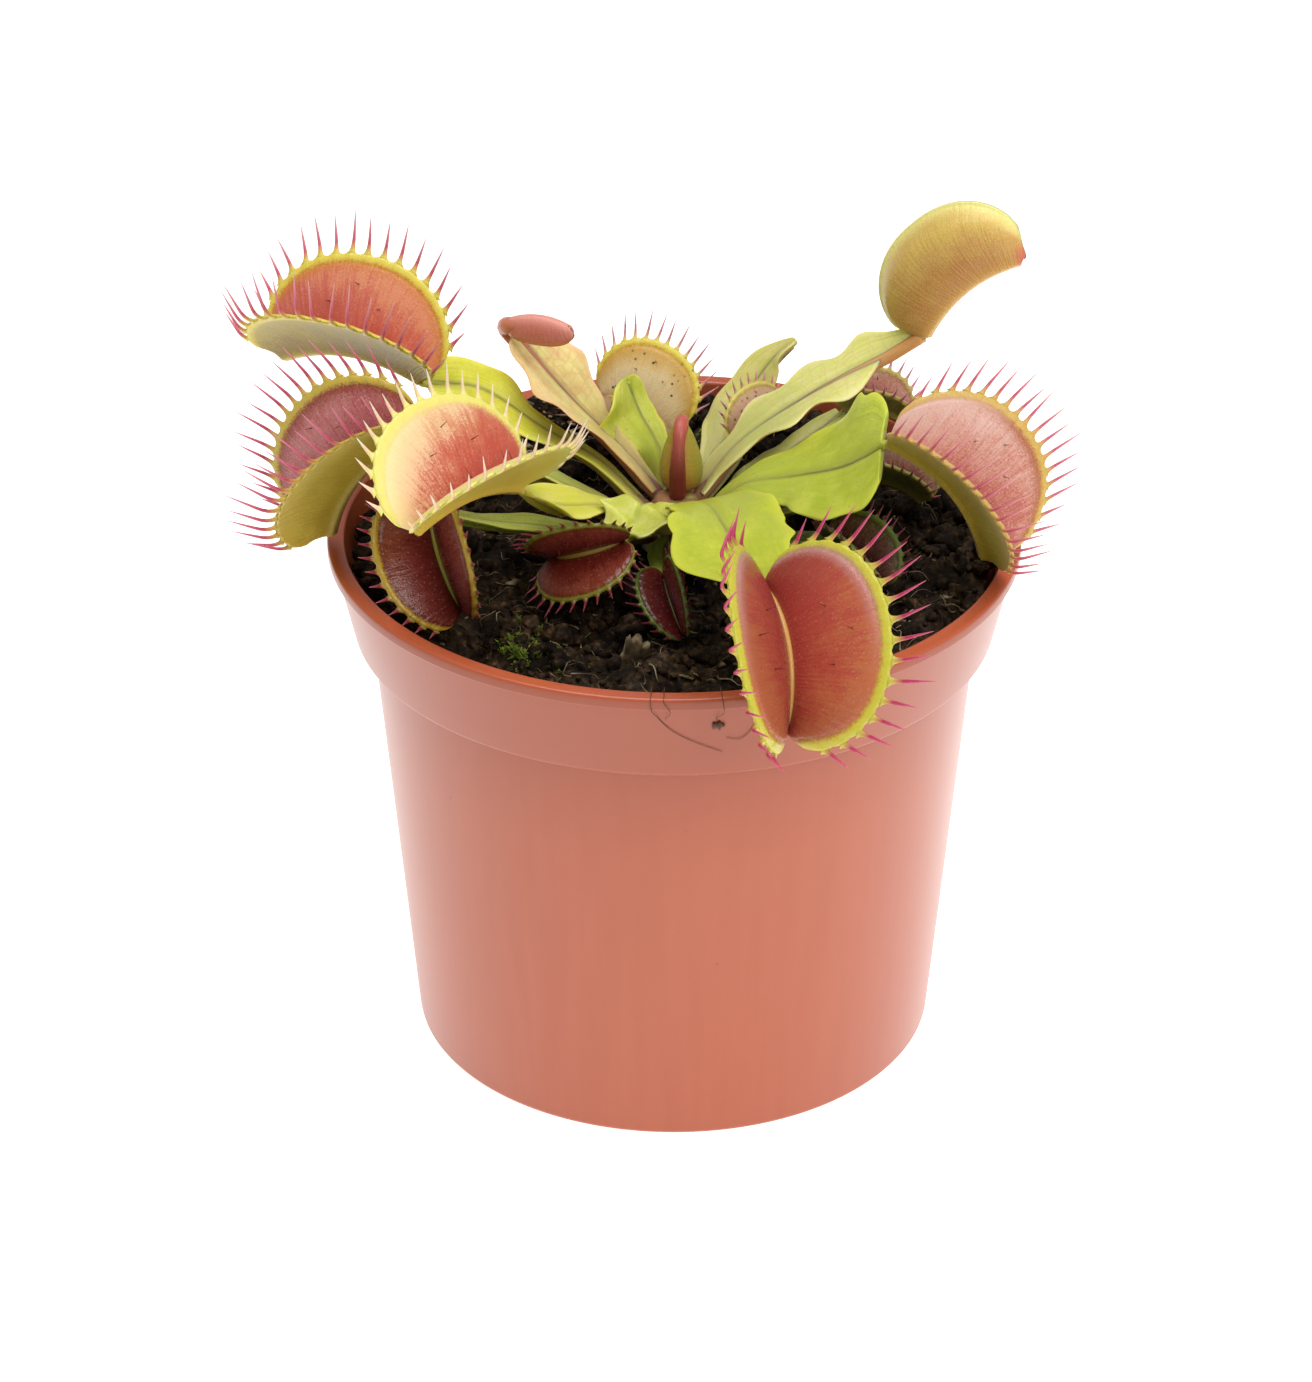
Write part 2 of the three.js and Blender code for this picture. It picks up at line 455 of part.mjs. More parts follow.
// A trap: one curved sheet with a lobe on each side of the hinge, and teeth that grow out of its margins.
function trap(leaf) {
  const spec = leaf.trap;
  const from = new THREE.Vector3(...spec.from);
  const hinge = new THREE.Vector3(...spec.to).sub(from);
  const along = hinge.clone().normalize();
  const mouth = UP.clone().addScaledVector(along, -UP.dot(along)).normalize();
  mouth.applyAxisAngle(along, rad(spec.roll));
  const right = along.clone().cross(mouth);

  const large = spec.depth > LARGE_DEPTH;
  const { ribs, rows } = large ? LARGE_GRID : SMALL_GRID;
  const edgeSteps = Math.max(2 * spec.teeth + 1, ribs);
  const ribAt = (u) => {
    const c = 2 * u - 1;
    return {
      root: from.clone().addScaledVector(hinge, u).addScaledVector(mouth, spec.bow * 4 * u * (1 - u)),
      turn: rad(spec.fan) * c,
      depth: spec.depth * (1 - (1 - spec.endDepth) * Math.abs(c) ** LOBE_ROUNDING),
    };
  };
  const outward = (turn, lean, hand) => right.clone().multiplyScalar(hand * Math.sin(lean))
    .addScaledVector(mouth, Math.cos(lean)).multiplyScalar(Math.cos(turn))
    .addScaledVector(along, Math.sin(turn));

  const upper = [];
  const lower = [];
  const addPoint = (u, v, hand) => {
    const { root, turn, depth } = ribAt(u);
    const [side, rise, lean] = lobeSection(v, spec.open[hand > 0 ? 0 : 1], spec.curl);
    const spread = depth * Math.cos(turn);
    const point = root.addScaledVector(right, hand * side * spread).addScaledVector(mouth, rise * spread)
      .addScaledVector(along, v * depth * Math.sin(turn));
    const inward = v === 0 ? mouth.clone() : right.clone().multiplyScalar(-hand * Math.cos(lean))
      .addScaledVector(mouth, Math.sin(lean));
    const back = v === 0 ? HINGE_DEPTH : LOBE_THICKNESS / 2;
    lower.push(point.clone().addScaledVector(inward, -back));
    return upper.push(point.addScaledVector(inward, LOBE_THICKNESS / 2)) - 1;
  };

  // Rows of points from the left margin over the hinge to the right margin. Each point keeps its place u.
  const lines = [];
  const addLine = (steps, v, hand) => {
    const places = Array.from({ length: steps + 1 }, (_, k) => k / steps);
    lines.push({ places, ids: places.map((u) => addPoint(u, v, hand)) });
  };
  addLine(edgeSteps, 1, -1);
  for (const v of rows.slice(1).reverse()) addLine(ribs, v, -1);
  for (const v of rows) addLine(ribs, v, 1);
  addLine(edgeSteps, 1, 1);

  const points = [...upper, ...lower];
  const count = upper.length;
  const triangles = [];
  const face = (a, b, c) => {
    triangles.push([a, b, c]);
    triangles.push([count + a, count + c, count + b]);
  };
  for (let n = 0; n + 1 < lines.length; n++) {
    const [left, next] = [lines[n], lines[n + 1]];
    let i = 0;
    let j = 0;
    while (i + 1 < left.ids.length || j + 1 < next.ids.length) {
      const stepLeft = j + 1 >= next.ids.length
        || (i + 1 < left.ids.length && left.places[i + 1] <= next.places[j + 1] + 1e-9);
      if (stepLeft) {
        face(left.ids[i], next.ids[j], left.ids[i + 1]);
        i += 1;
      } else {
        face(left.ids[i], next.ids[j], next.ids[j + 1]);
        j += 1;
      }
    }
  }

  // The rim of the sheet, which is plain at its two ends and bears a tooth on every other step of a margin.
  const rim = (a, b) => triangles.push([a, b, count + b], [a, count + b, count + a]);
  for (let n = 0; n + 1 < lines.length; n++) {
    rim(lines[n + 1].ids[0], lines[n].ids[0]);
    rim(lines[n].ids.at(-1), lines[n + 1].ids.at(-1));
  }
  const margin = ({ places, ids }, hand) => {
    for (let k = 0; k + 1 < ids.length; k++) {
      const [a, b] = hand < 0 ? [ids[k], ids[k + 1]] : [ids[k + 1], ids[k]];
      if (spec.teeth === 0 || k % 2 === 0) {
        rim(a, b);
        continue;
      }
      const u = (places[k] + places[k + 1]) / 2;
      const { turn } = ribAt(u);
      const open = spec.open[hand > 0 ? 0 : 1];
      const lean = rad(open + spec.curl / 2);
      const length = spec.tooth * (1 - TOOTH_FALL_TO_ENDS * Math.abs(2 * u - 1) ** 3)
        * (1 + TOOTH_VARIATION * Math.sin(5 * k));
      const ring = [a, b, count + b, count + a];
      const middle = ring.reduce((sum, id) => sum.add(points[id]), new THREE.Vector3()).multiplyScalar(0.25);
      const grow = (share, bend) => outward(turn, lean - rad(bend), hand).multiplyScalar(length * share);
      if (!large) {
        const tipId = points.push(middle.add(grow(1, TOOTH_LEAN / 2))) - 1;
        ring.forEach((id, q) => triangles.push([id, ring[(q + 1) % 4], tipId]));
        continue;
      }
      const bent = middle.clone().add(grow(TOOTH_NECK, TOOTH_LEAN / 2));
      const tip = bent.clone().add(grow(1 - TOOTH_NECK, TOOTH_LEAN));
      const narrowed = ring.map((id) => {
        const offset = points[id].clone().sub(middle).multiplyScalar(TOOTH_NECK);
        return points.push(offset.add(bent)) - 1;
      });
      const tipId = points.push(tip) - 1;
      for (let q = 0; q < 4; q++) {
        const r = (q + 1) % 4;
        triangles.push([ring[q], ring[r], narrowed[r]], [ring[q], narrowed[r], narrowed[q]]);
        triangles.push([narrowed[q], narrowed[r], tipId]);
      }
    }
  };
  margin(lines[0], -1);
  margin(lines.at(-1), 1);
  return piece(`leaf_${leaf.name}_trap`, finish[spec.finish], points, triangles);
}

const group = new THREE.Group();
group.add(pot(), peat(), rhizome());
for (const leaf of LEAVES) {
  if (leaf.path) group.add(blade(leaf));
  if (leaf.trap) group.add(trap(leaf));
}

export default group;
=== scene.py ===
# A potted Venus flytrap: the finished surfaces round the fixed frame of solids.
# Sizes are in millimetres and are turned to metres where a mesh is made.
import json
import math

import bmesh
import bpy
import numpy as np
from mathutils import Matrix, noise

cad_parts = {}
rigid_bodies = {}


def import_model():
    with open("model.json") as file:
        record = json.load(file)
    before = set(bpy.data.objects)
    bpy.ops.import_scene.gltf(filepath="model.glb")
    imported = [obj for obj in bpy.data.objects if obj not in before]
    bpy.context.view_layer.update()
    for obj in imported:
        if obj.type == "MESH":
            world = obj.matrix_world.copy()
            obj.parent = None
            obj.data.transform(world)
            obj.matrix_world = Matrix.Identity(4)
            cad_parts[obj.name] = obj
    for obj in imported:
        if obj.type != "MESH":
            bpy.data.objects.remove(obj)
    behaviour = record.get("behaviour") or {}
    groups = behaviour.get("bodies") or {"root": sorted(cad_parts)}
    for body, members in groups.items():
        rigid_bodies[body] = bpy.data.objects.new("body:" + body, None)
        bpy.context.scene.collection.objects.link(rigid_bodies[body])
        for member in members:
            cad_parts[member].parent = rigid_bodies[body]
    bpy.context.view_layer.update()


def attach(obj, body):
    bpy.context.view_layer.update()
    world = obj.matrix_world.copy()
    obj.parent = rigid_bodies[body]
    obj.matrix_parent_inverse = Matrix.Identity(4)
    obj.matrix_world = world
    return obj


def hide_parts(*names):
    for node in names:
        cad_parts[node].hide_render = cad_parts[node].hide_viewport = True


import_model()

MM = 0.001

# Camera
# The photographer stood well back with a long lens and looked down on the rosette. The pot's rim, foot and
# collar in the picture give this place, which the tall picture frames with no shift.
LOOK_AT = (-2.36, 0.0, 47.05)
LOOK_DOWN = math.radians(29.8)
CAMERA_DISTANCE = 660.0
LENS = 130.1

optics = bpy.data.cameras.new("camera")
optics.lens = LENS
camera = bpy.data.objects.new("camera", optics)
camera.location = (
    LOOK_AT[0] * MM,
    (LOOK_AT[1] - CAMERA_DISTANCE * math.cos(LOOK_DOWN)) * MM,
    (LOOK_AT[2] + CAMERA_DISTANCE * math.sin(LOOK_DOWN)) * MM,
)
camera.rotation_euler = (math.pi / 2 - LOOK_DOWN, 0, 0)
bpy.context.scene.collection.objects.link(camera)
bpy.context.scene.camera = camera

# Pot
# A nursery pot of terracotta-coloured polypropylene, injection moulded in one piece: a thin tapering wall, a
# deep collar under a square lip, a foot ring, a middle pad and a ring of drain holes.
RIM_RADIUS, POT_HEIGHT, LIP, LIP_HEIGHT = 45.0, 71.5, 2.2, 1.6
COLLAR_HEIGHT, COLLAR_TOP_RADIUS, COLLAR_FOOT_RADIUS = 12.8, 44.3, 41.8
BODY_TOP_RADIUS, BASE_RADIUS, WALL = 39.6, 34.5, 1.3
FLOOR_TOP, FLOOR_UNDERSIDE, FOOT_WIDTH, CENTRE_PAD_RADIUS = 2.9, 1.5, 2.6, 8.0
DRAIN_HOLES, DRAIN_RADIUS, DRAIN_CIRCLE = 8, 3.2, 21.0
POT_SIDES, DRILL_SIDES, DRILL_PAST = 192, 24, 1
COLLAR_FOOT = POT_HEIGHT - COLLAR_HEIGHT


def linear(colour):
    """The linear value of an sRGB hex colour, with full opacity."""
    channels = [int(colour[i:i + 2], 16) / 255 for i in (1, 3, 5)]
    return [c / 12.92 if c <= 0.04045 else ((c + 0.055) / 1.055) ** 2.4 for c in channels] + [1.0]


def add(tree, kind, inputs=None, stops=None, **settings):
    """Adds a node. inputs are values or the sockets that feed it, and stops are a ramp's places and hex
    colours."""
    node = tree.nodes.new(kind)
    for name, value in settings.items():
        setattr(node, name, value)
    for name, value in (inputs or {}).items():
        if isinstance(value, bpy.types.NodeSocket):
            tree.links.new(value, node.inputs[name])
        else:
            node.inputs[name].default_value = value
    for i, (place, colour) in enumerate(stops or []):
        ramp = node.color_ramp.elements
        element = ramp[i] if i < 2 else ramp.new(place)
        element.position = place
        element.color = linear(colour)
    return node


def start_material(name):
    """A material with an empty node tree, and that tree."""
    material = bpy.data.materials.new(name)
    material.use_nodes = True
    material.node_tree.nodes.clear()
    return material, material.node_tree


class Pile:
    """Gathers points in millimetres, faces and values for each point, and makes one mesh piece of them."""

    def __init__(self):
        self.points, self.faces, self.values, self.count = [], [], [], 0

    def add(self, points, faces, **values):
        points = np.asarray(points, float).reshape(-1, 3)
        self.points.append(points)
        self.faces += [[i + self.count for i in face] for face in faces]
        self.values.append({name: np.broadcast_to(v, len(points)) for name, v in values.items()})
        self.count += len(points)

    def make(self, name, material, slot, *nodes):
        mesh = bpy.data.meshes.new(name)
        mesh.from_pydata((np.concatenate(self.points) * MM).tolist(), [], self.faces)
        for label in sorted({label for part in self.values for label in part}):
            parts = [part.get(label, np.zeros(len(p))) for part, p in zip(self.values, self.points)]
            layer = mesh.attributes.new(label, "FLOAT", "POINT")
            layer.data.foreach_set("value", np.concatenate(parts).astype(np.float32))
        mesh.shade_smooth()
        mesh.materials.append(material)
        piece = bpy.data.objects.new(name, mesh)
        bpy.context.scene.collection.objects.link(piece)
        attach(piece, "root")
        if nodes:
            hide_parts(*nodes)
        return piece


def grid_faces(rows, columns, closed=False):
    """The four-cornered faces of a grid of points, whose last column joins the first if it is closed."""
    faces = []
    for i in range(rows - 1):
        for j in range(columns if closed else columns - 1):
            k = (j + 1) % columns
            faces.append([i * columns + j, i * columns + k, (i + 1) * columns + k, (i + 1) * columns + j])
    return faces


def filleted(corners, steps=4):
    """Rounds a profile's corners, given as (radius, height, size of the rounding)."""
    outline = []
    for i, (r, z, size) in enumerate(corners):
        here = np.array([r, z])
        if size == 0:
            outline.append(here)
            continue
        before = np.array(corners[i - 1][:2]) - here
        after = np.array(corners[i + 1][:2]) - here
        begin = here + before / np.linalg.norm(before) * size
        end = here + after / np.linalg.norm(after) * size
        for t in np.linspace(0, 1, steps + 1):
            outline.append((1 - t) ** 2 * begin + 2 * t * (1 - t) * here + t ** 2 * end)
    return np.array(outline)


def turned(outline, sides):
    """The points and faces of a turned body, whose outline of radii and heights runs from axis to axis."""
    angles = np.linspace(0, 2 * np.pi, sides, endpoint=False)
    rings = outline[1:-1]
    x = rings[:, :1] * np.cos(angles)
    y = rings[:, :1] * np.sin(angles)
    z = np.broadcast_to(rings[:, 1:], x.shape)
    points = np.stack([x, y, z], -1).reshape(-1, 3)
    faces = grid_faces(len(rings), sides, closed=True)
    first, last = len(points), len(points) + 1
    top = (len(rings) - 1) * sides
    for j in range(sides):
        k = (j + 1) % sides
        faces += [[first, k, j], [last, top + j, top + k]]
    ends = [[0, 0, outline[0, 1]], [0, 0, outline[-1, 1]]]
    return np.concatenate([points, ends]), faces


def body_radius(height):
    """The outside radius of the tapering wall at a height."""
    return BASE_RADIUS + (BODY_TOP_RADIUS - BASE_RADIUS) * height / COLLAR_FOOT


# Moulded polypropylene, IOR 1.49 and roughness 0.3: satin and a little translucent, with the faint orange
# peel and the upright flow marks of its mould. Its colour darkens upwards as painted shade round the collar,
# and the lip's top face is painted a little lighter and redder, as painted light where it faces up. Specks of
# dust half a millimetre across lie about a centimetre apart.
PEEL_MM, FLOW_MM, SPECK_SPACING_MM = 0.7, 2.4, 9.6
# The heights between which painted shade darkens the pot's colour.
PAINTED_SHADE_FROM, PAINTED_SHADE_FULL = 44, 62
polypropylene, tree = start_material("polypropylene_moulded_terracotta")
place = add(tree, "ShaderNodeNewGeometry").outputs["Position"]
upright = (1, 1, 0.02)
flow_place = add(tree, "ShaderNodeVectorMath", {0: place, 1: upright}, operation="MULTIPLY").outputs[0]
flow = add(tree, "ShaderNodeTexNoise", {"Vector": flow_place, "Scale": 1 / (FLOW_MM * MM), "Detail": 2})
tint = add(tree, "ShaderNodeValToRGB", {"Fac": flow.outputs["Fac"]},
           stops=[(0.3, "#ab5738"), (0.7, "#ae5a3b")])
height = add(tree, "ShaderNodeSeparateXYZ", {0: place}).outputs["Z"]
# Painted shade: the colour darkens up the wall and over the collar.
painted_shade = add(tree, "ShaderNodeMapRange", {
    "Value": height, "From Min": PAINTED_SHADE_FROM * MM, "From Max": PAINTED_SHADE_FULL * MM, "To Max": 0.6})
tint = add(tree, "ShaderNodeMix", {"Factor": painted_shade.outputs[0], 6: tint.outputs[0], 7: linear("#96482e")},
           data_type="RGBA")
# Painted light: the lip's top face is a little lighter and redder, where it faces up.
lip = add(tree, "ShaderNodeMapRange", {
    "Value": height, "From Min": (POT_HEIGHT - 0.5) * MM, "From Max": (POT_HEIGHT - 0.1) * MM})
lipped = add(tree, "ShaderNodeMix", {"Factor": lip.outputs[0], 6: tint.outputs[2], 7: linear("#b45636")},
             data_type="RGBA")
specks = add(tree, "ShaderNodeTexVoronoi", {"Vector": place, "Scale": 1 / (SPECK_SPACING_MM * MM)})
speck = add(tree, "ShaderNodeMapRange", {
    "Value": specks.outputs["Distance"], "From Min": 0.018, "From Max": 0.028, "To Min": 0.5, "To Max": 0.0})
dusty = add(tree, "ShaderNodeMix", {"Factor": speck.outputs[0], 6: lipped.outputs[2], 7: linear("#7a3a28")},
            data_type="RGBA")
peel = add(tree, "ShaderNodeTexNoise", {"Vector": place, "Scale": 1 / (PEEL_MM * MM), "Detail": 2})
relief = add(tree, "ShaderNodeBump", {"Height": peel.outputs["Fac"], "Strength": 0.12, "Distance": 0.05 * MM})
gloss = add(tree, "ShaderNodeMapRange", {"Value": flow.outputs["Fac"], "To Min": 0.27, "To Max": 0.3})
shader = add(tree, "ShaderNodeBsdfPrincipled", {
    "Base Color": dusty.outputs[2], "Roughness": gloss.outputs[0], "IOR": 1.49, "Normal": relief.outputs[0],
    "Subsurface Weight": 0.15, "Subsurface Radius": (1.0, 0.35, 0.2), "Subsurface Scale": 1.0 * MM})
add(tree, "ShaderNodeOutputMaterial", {"Surface": shader.outputs[0]})

pot_outline = filleted([
    (0, 0, 0), (CENTRE_PAD_RADIUS, 0, 0.3), (CENTRE_PAD_RADIUS, FLOOR_UNDERSIDE, 0.3),
    (BASE_RADIUS - FOOT_WIDTH, FLOOR_UNDERSIDE, 0.3), (BASE_RADIUS - FOOT_WIDTH, 0, 0.4),
    (BASE_RADIUS, 0, 0.7),
    (BODY_TOP_RADIUS, COLLAR_FOOT, 0.5), (COLLAR_FOOT_RADIUS, COLLAR_FOOT, 0.6),
    (COLLAR_TOP_RADIUS, POT_HEIGHT - LIP_HEIGHT, 0.25), (RIM_RADIUS, POT_HEIGHT - LIP_HEIGHT, 0.25),
    (RIM_RADIUS, POT_HEIGHT, 0.5), (RIM_RADIUS - LIP, POT_HEIGHT, 0.5),
    (COLLAR_FOOT_RADIUS - WALL, COLLAR_FOOT + WALL, 0.6), (BODY_TOP_RADIUS - WALL, COLLAR_FOOT - WALL, 0.6),
    (body_radius(FLOOR_TOP) - WALL, FLOOR_TOP, 1.0), (0, FLOOR_TOP, 0),
])
shell = Pile()
shell.add(*turned(pot_outline, POT_SIDES))
pot = shell.make("pot_moulding", polypropylene, "pot", "pot")

# The drain holes are cut out of the moulding, half way between the directions of the axes.
drills = bpy.data.collections.new("drain_drills")
low, high = -DRILL_PAST, FLOOR_TOP + DRILL_PAST
drill_outline = np.array([[0, low], [DRAIN_RADIUS, low], [DRAIN_RADIUS, high], [0, high]])
points, faces = turned(drill_outline, DRILL_SIDES)
for i in range(DRAIN_HOLES):
    turn = 2 * math.pi * (i + 0.5) / DRAIN_HOLES
    mesh = bpy.data.meshes.new("drill")
    shift = (DRAIN_CIRCLE * math.cos(turn), DRAIN_CIRCLE * math.sin(turn), 0)
    mesh.from_pydata(((points + shift) * MM).tolist(), [], faces)
    drills.objects.link(bpy.data.objects.new("drill", mesh))
cut = pot.modifiers.new("drain holes", "BOOLEAN")
cut.operation, cut.operand_type, cut.collection = "DIFFERENCE", "COLLECTION", drills
bpy.context.view_layer.update()
drilled = bpy.data.meshes.new_from_object(pot.evaluated_get(bpy.context.evaluated_depsgraph_get()))
pot.modifiers.clear()
pot.data = drilled
for drill in list(drills.objects):
    bpy.data.objects.remove(drill)
bpy.data.collections.remove(drills)

# Peat
# Moist sphagnum peat fills the pot to just under the lip and rises to its back. It is nearly black, lies in
# crumbs and hollows, and has a plain hole in which the rootstock stands.
CLEARANCE = 0.3
PEAT_LEVEL, PEAT_RISE_TO_BACK, PEAT_CLUMPS = 65.8, 2.6, 0.8
PEAT_RISE_FROM, PEAT_RISE_FULL = -5, 35
PEAT_FLARE, PEAT_CLOSING = 0.6, 0.5
CROWN = np.array([0.3, 8.0])
RHIZOME_RADIUS, RHIZOME_FOOT, HOLE_BELOW = 5.2, 46.0, 1
PEAT_RINGS, PEAT_SIDES = 110, 300
CLOD_MM, CRUMB_MM, GRAIN_MM = 6.0, 1.7, 0.9
CLOD_HEIGHT, CRUMB_HEIGHT = 1.5, 1.1


def smoothstep(value, low, high):
    """A share that eases from 0 at low to 1 at high."""
    share = np.clip((np.asarray(value, float) - low) / (high - low), 0, 1)
    return share * share * (3 - 2 * share)


def peat_height(x, y):
    """The level of the peat at a place: clumps 5 to 25 mm across, clods, and crumbs with hollows between."""
    clumps = np.sin(0.31 * x + 1.3) * np.cos(0.27 * y - 0.4)
    clumps = clumps + 0.6 * np.sin(0.55 * x - 0.48 * y + 2) + 0.4 * np.cos(0.9 * x + 0.7 * y)
    level = PEAT_LEVEL + PEAT_RISE_TO_BACK * smoothstep(y, PEAT_RISE_FROM, PEAT_RISE_FULL)
    level = level + PEAT_CLUMPS * clumps
    clod = noise.noise((x / CLOD_MM, y / CLOD_MM, 3.1))
    crumb = abs(noise.noise((x / CRUMB_MM, y / CRUMB_MM, 7.7))) + 0.5 * noise.noise((x, y, 11.3))
    return float(level) + CLOD_HEIGHT * clod + CRUMB_HEIGHT * (crumb - 0.3)


# Moist sphagnum peat, IOR 1.4 and roughness 0.95, down to 0.55 where it is wet: nearly black crumbs with a
# glint here and there, and paler dry ones among them.
peat_mix, tree = start_material("sphagnum_peat_moist")
place = add(tree, "ShaderNodeNewGeometry").outputs["Position"]
clod = add(tree, "ShaderNodeTexNoise", {"Vector": place, "Scale": 1 / (CLOD_MM * MM), "Detail": 4})
grain = add(tree, "ShaderNodeTexNoise", {"Vector": place, "Scale": 1 / (GRAIN_MM * MM), "Detail": 5})
blend = add(tree, "ShaderNodeMix", {"Factor": 0.55, 2: clod.outputs["Fac"], 3: grain.outputs["Fac"]})
earth = add(tree, "ShaderNodeValToRGB", {"Fac": blend.outputs[0]},
            stops=[(0.36, "#0a0603"), (0.48, "#1c1209"), (0.58, "#392815"), (0.7, "#745a3c")])
wet = add(tree, "ShaderNodeMapRange", {"Value": clod.outputs["Fac"], "From Min": 0.45, "From Max": 0.62,
                                       "To Min": 0.95, "To Max": 0.55})
relief = add(tree, "ShaderNodeBump", {"Height": grain.outputs["Fac"], "Strength": 0.8, "Distance": 0.5 * MM})
shader = add(tree, "ShaderNodeBsdfPrincipled", {
    "Base Color": earth.outputs[0], "Roughness": wet.outputs[0], "IOR": 1.4, "Normal": relief.outputs[0],
    "Specular IOR Level": 0.3})
add(tree, "ShaderNodeOutputMaterial", {"Surface": shader.outputs[0]})

peat_edge = COLLAR_FOOT_RADIUS - WALL - CLEARANCE + PEAT_FLARE
bulk = Pile()
angles = np.linspace(0, 2 * np.pi, PEAT_SIDES, endpoint=False)
hole_radius = RHIZOME_RADIUS + CLEARANCE
rings = [
    [(r * math.cos(a), r * math.sin(a), z) for a in angles]
    for r, z in [
        (PEAT_CLOSING, FLOOR_TOP + CLEARANCE),
        (body_radius(FLOOR_TOP) - WALL - 2 * CLEARANCE, FLOOR_TOP + CLEARANCE),
        (BODY_TOP_RADIUS - WALL - CLEARANCE, COLLAR_FOOT - WALL),
        (peat_edge - PEAT_FLARE, COLLAR_FOOT + WALL + CLEARANCE),
    ]
]
for share in np.linspace(1, 0, PEAT_RINGS):
    ring = []
    for a in angles:
        # The rings close in on the rootstock's hole, not on the pot's middle.
        centre = CROWN * (1 - share)
        radius = hole_radius + (peat_edge - hole_radius) * share
        x, y = centre[0] + radius * math.cos(a), centre[1] + radius * math.sin(a)
        ring.append((x, y, peat_height(x, y)))
    rings.append(ring)
for r in (hole_radius, PEAT_CLOSING):
    rings.append([
        (CROWN[0] + r * math.cos(a), CROWN[1] + r * math.sin(a), RHIZOME_FOOT - HOLE_BELOW) for a in angles])
faces = grid_faces(len(rings), PEAT_SIDES, closed=True)
last = (len(rings) - 1) * PEAT_SIDES
faces.append(list(range(PEAT_SIDES))[::-1])
faces.append([last + k for k in range(PEAT_SIDES)])
bulk.add(np.array(rings).reshape(-1, 3), faces)
bulk.make("peat_fill", peat_mix, "peat", "peat")

# Crumbs and flakes on the peat
# Loose lumps of peat from half a millimetre to a small pea lie all over the fill, heaped against the back of
# the rim, with grey-brown flakes of bark and straw among them.
LUMPS, BANK_LUMPS, FLAKES, BACK_FLAKES = 1300, 620, 320, 170
LUMP_SIZE, LUMP_SPREAD, LARGEST_LUMP, BANK_LUMP_SIZES, FINE_MESH_FROM = 0.35, 0.45, 2.0, (0.5, 1.7), 1.2
# The bank lies against the wall from the right round the back to the left, in degrees from +X. A fifth of its
# lumps are in a heap behind the left leaves, which rises higher than the rest.
BANK_ARC, HEAP_ARC, HEAP_SHARE, FLAKE_ARC = (-8, 205), (106, 134), 0.2, (100, 145)
BANK_RADIUS, BANK_WIDTH, BANK_TOP, FLAKE_RADII = 36.5, 4.0, 70.6, (30, 40.5)
HEAP_BEARING, HEAP_RISE, HEAP_SPREAD, FLAKE_RISE, FLAKE_SPREAD, FLAKE_RISE_FROM = 120, 2.2, 9, 4.6, 10, 34
# The chunk of bark: its place, half sizes, how far it stands up out of the peat, and its lean.
CHUNK_PLACE, CHUNK_SIZES, CHUNK_LIFT, CHUNK_LEAN = (-5.4, -25.5), (1.5, 0.9, 2.9), 0.9, math.radians(-18)
rng = np.random.default_rng(11)


def ball(steps):
    """The points and faces of a ball of radius 1, split evenly."""
    mesh = bmesh.new()
    bmesh.ops.create_icosphere(mesh, subdivisions=steps, radius=1)
    points = np.array([v.co for v in mesh.verts])
    faces = [[v.index for v in face.verts] for face in mesh.faces]
    mesh.free()
    return points, faces


def any_turn(rng):
    """A random turn in space, as three unit vectors."""
    turn, _ = np.linalg.qr(rng.normal(size=(3, 3)))
    return turn


def on_peat(rng, inner=6.5, outer=40.0):
    """A random place on the peat, clear of the rootstock."""
    while True:
        x, y = rng.uniform(-outer, outer, 2)
        if math.hypot(x, y) < outer and math.hypot(x - CROWN[0], y - CROWN[1]) > inner:
            return x, y


def heap_at(x, y, spread):
    """How near a place is to the middle of the heap by its bearing, from 0 to 1."""
    return math.exp(-((math.degrees(math.atan2(y, x)) - HEAP_BEARING) / spread) ** 2)


crumbs = Pile()
small, large = ball(2), ball(3)
for i in range(LUMPS + BANK_LUMPS):
    x, y = on_peat(rng)
    size = min(LUMP_SIZE + rng.exponential(LUMP_SPREAD), LARGEST_LUMP)
    bank = 0.0
    if i >= LUMPS:
        bearings = [rng.uniform(*BANK_ARC), rng.uniform(*HEAP_ARC)]
        a = math.radians(rng.choice(bearings, p=[1 - HEAP_SHARE, HEAP_SHARE]))
        bank = rng.uniform(0, 1)
        r = BANK_RADIUS + BANK_WIDTH * bank ** 0.5
        x, y = r * math.cos(a), r * math.sin(a)
        size = rng.uniform(*BANK_LUMP_SIZES)
    points, faces = large if size > FINE_MESH_FROM else small
    # Each lump has broad swellings, smaller ones on them, furrows between them, and a knobbly skin.
    px, py, pz = points.T
    wave = rng.uniform(0, 6, 6)
    swell = 1 + 0.22 * np.sin(2.3 * px + wave[0]) * np.cos(2.9 * py + wave[1])
    swell = swell + 0.16 * np.sin(4.7 * pz + wave[2]) * np.sin(5.3 * px + wave[3])
    swell = swell + 0.1 * np.sin(9 * py + wave[4]) * np.cos(8 * pz + wave[5])
    swell = swell - 0.14 * np.abs(np.sin(7 * px + wave[5]) * np.sin(6 * py + wave[0])) ** 0.6
    swell = swell + 0.07 * np.sin(17 * pz + wave[1]) * np.sin(15 * px + wave[4])
    lump = (points * swell[:, None] * rng.uniform(0.6, 1.1, 3)) @ any_turn(rng) * size
    banked = BANK_TOP + HEAP_RISE * heap_at(x, y, HEAP_SPREAD)
    lift = bank * rng.uniform(0.2, 1.0) * (banked - peat_height(x, y)) + 0.25 * size * (1 - bank)
    crumbs.add(lump + (x, y, peat_height(x, y) + lift), faces)
crumbs.make("peat_crumbs", peat_mix, "peat")

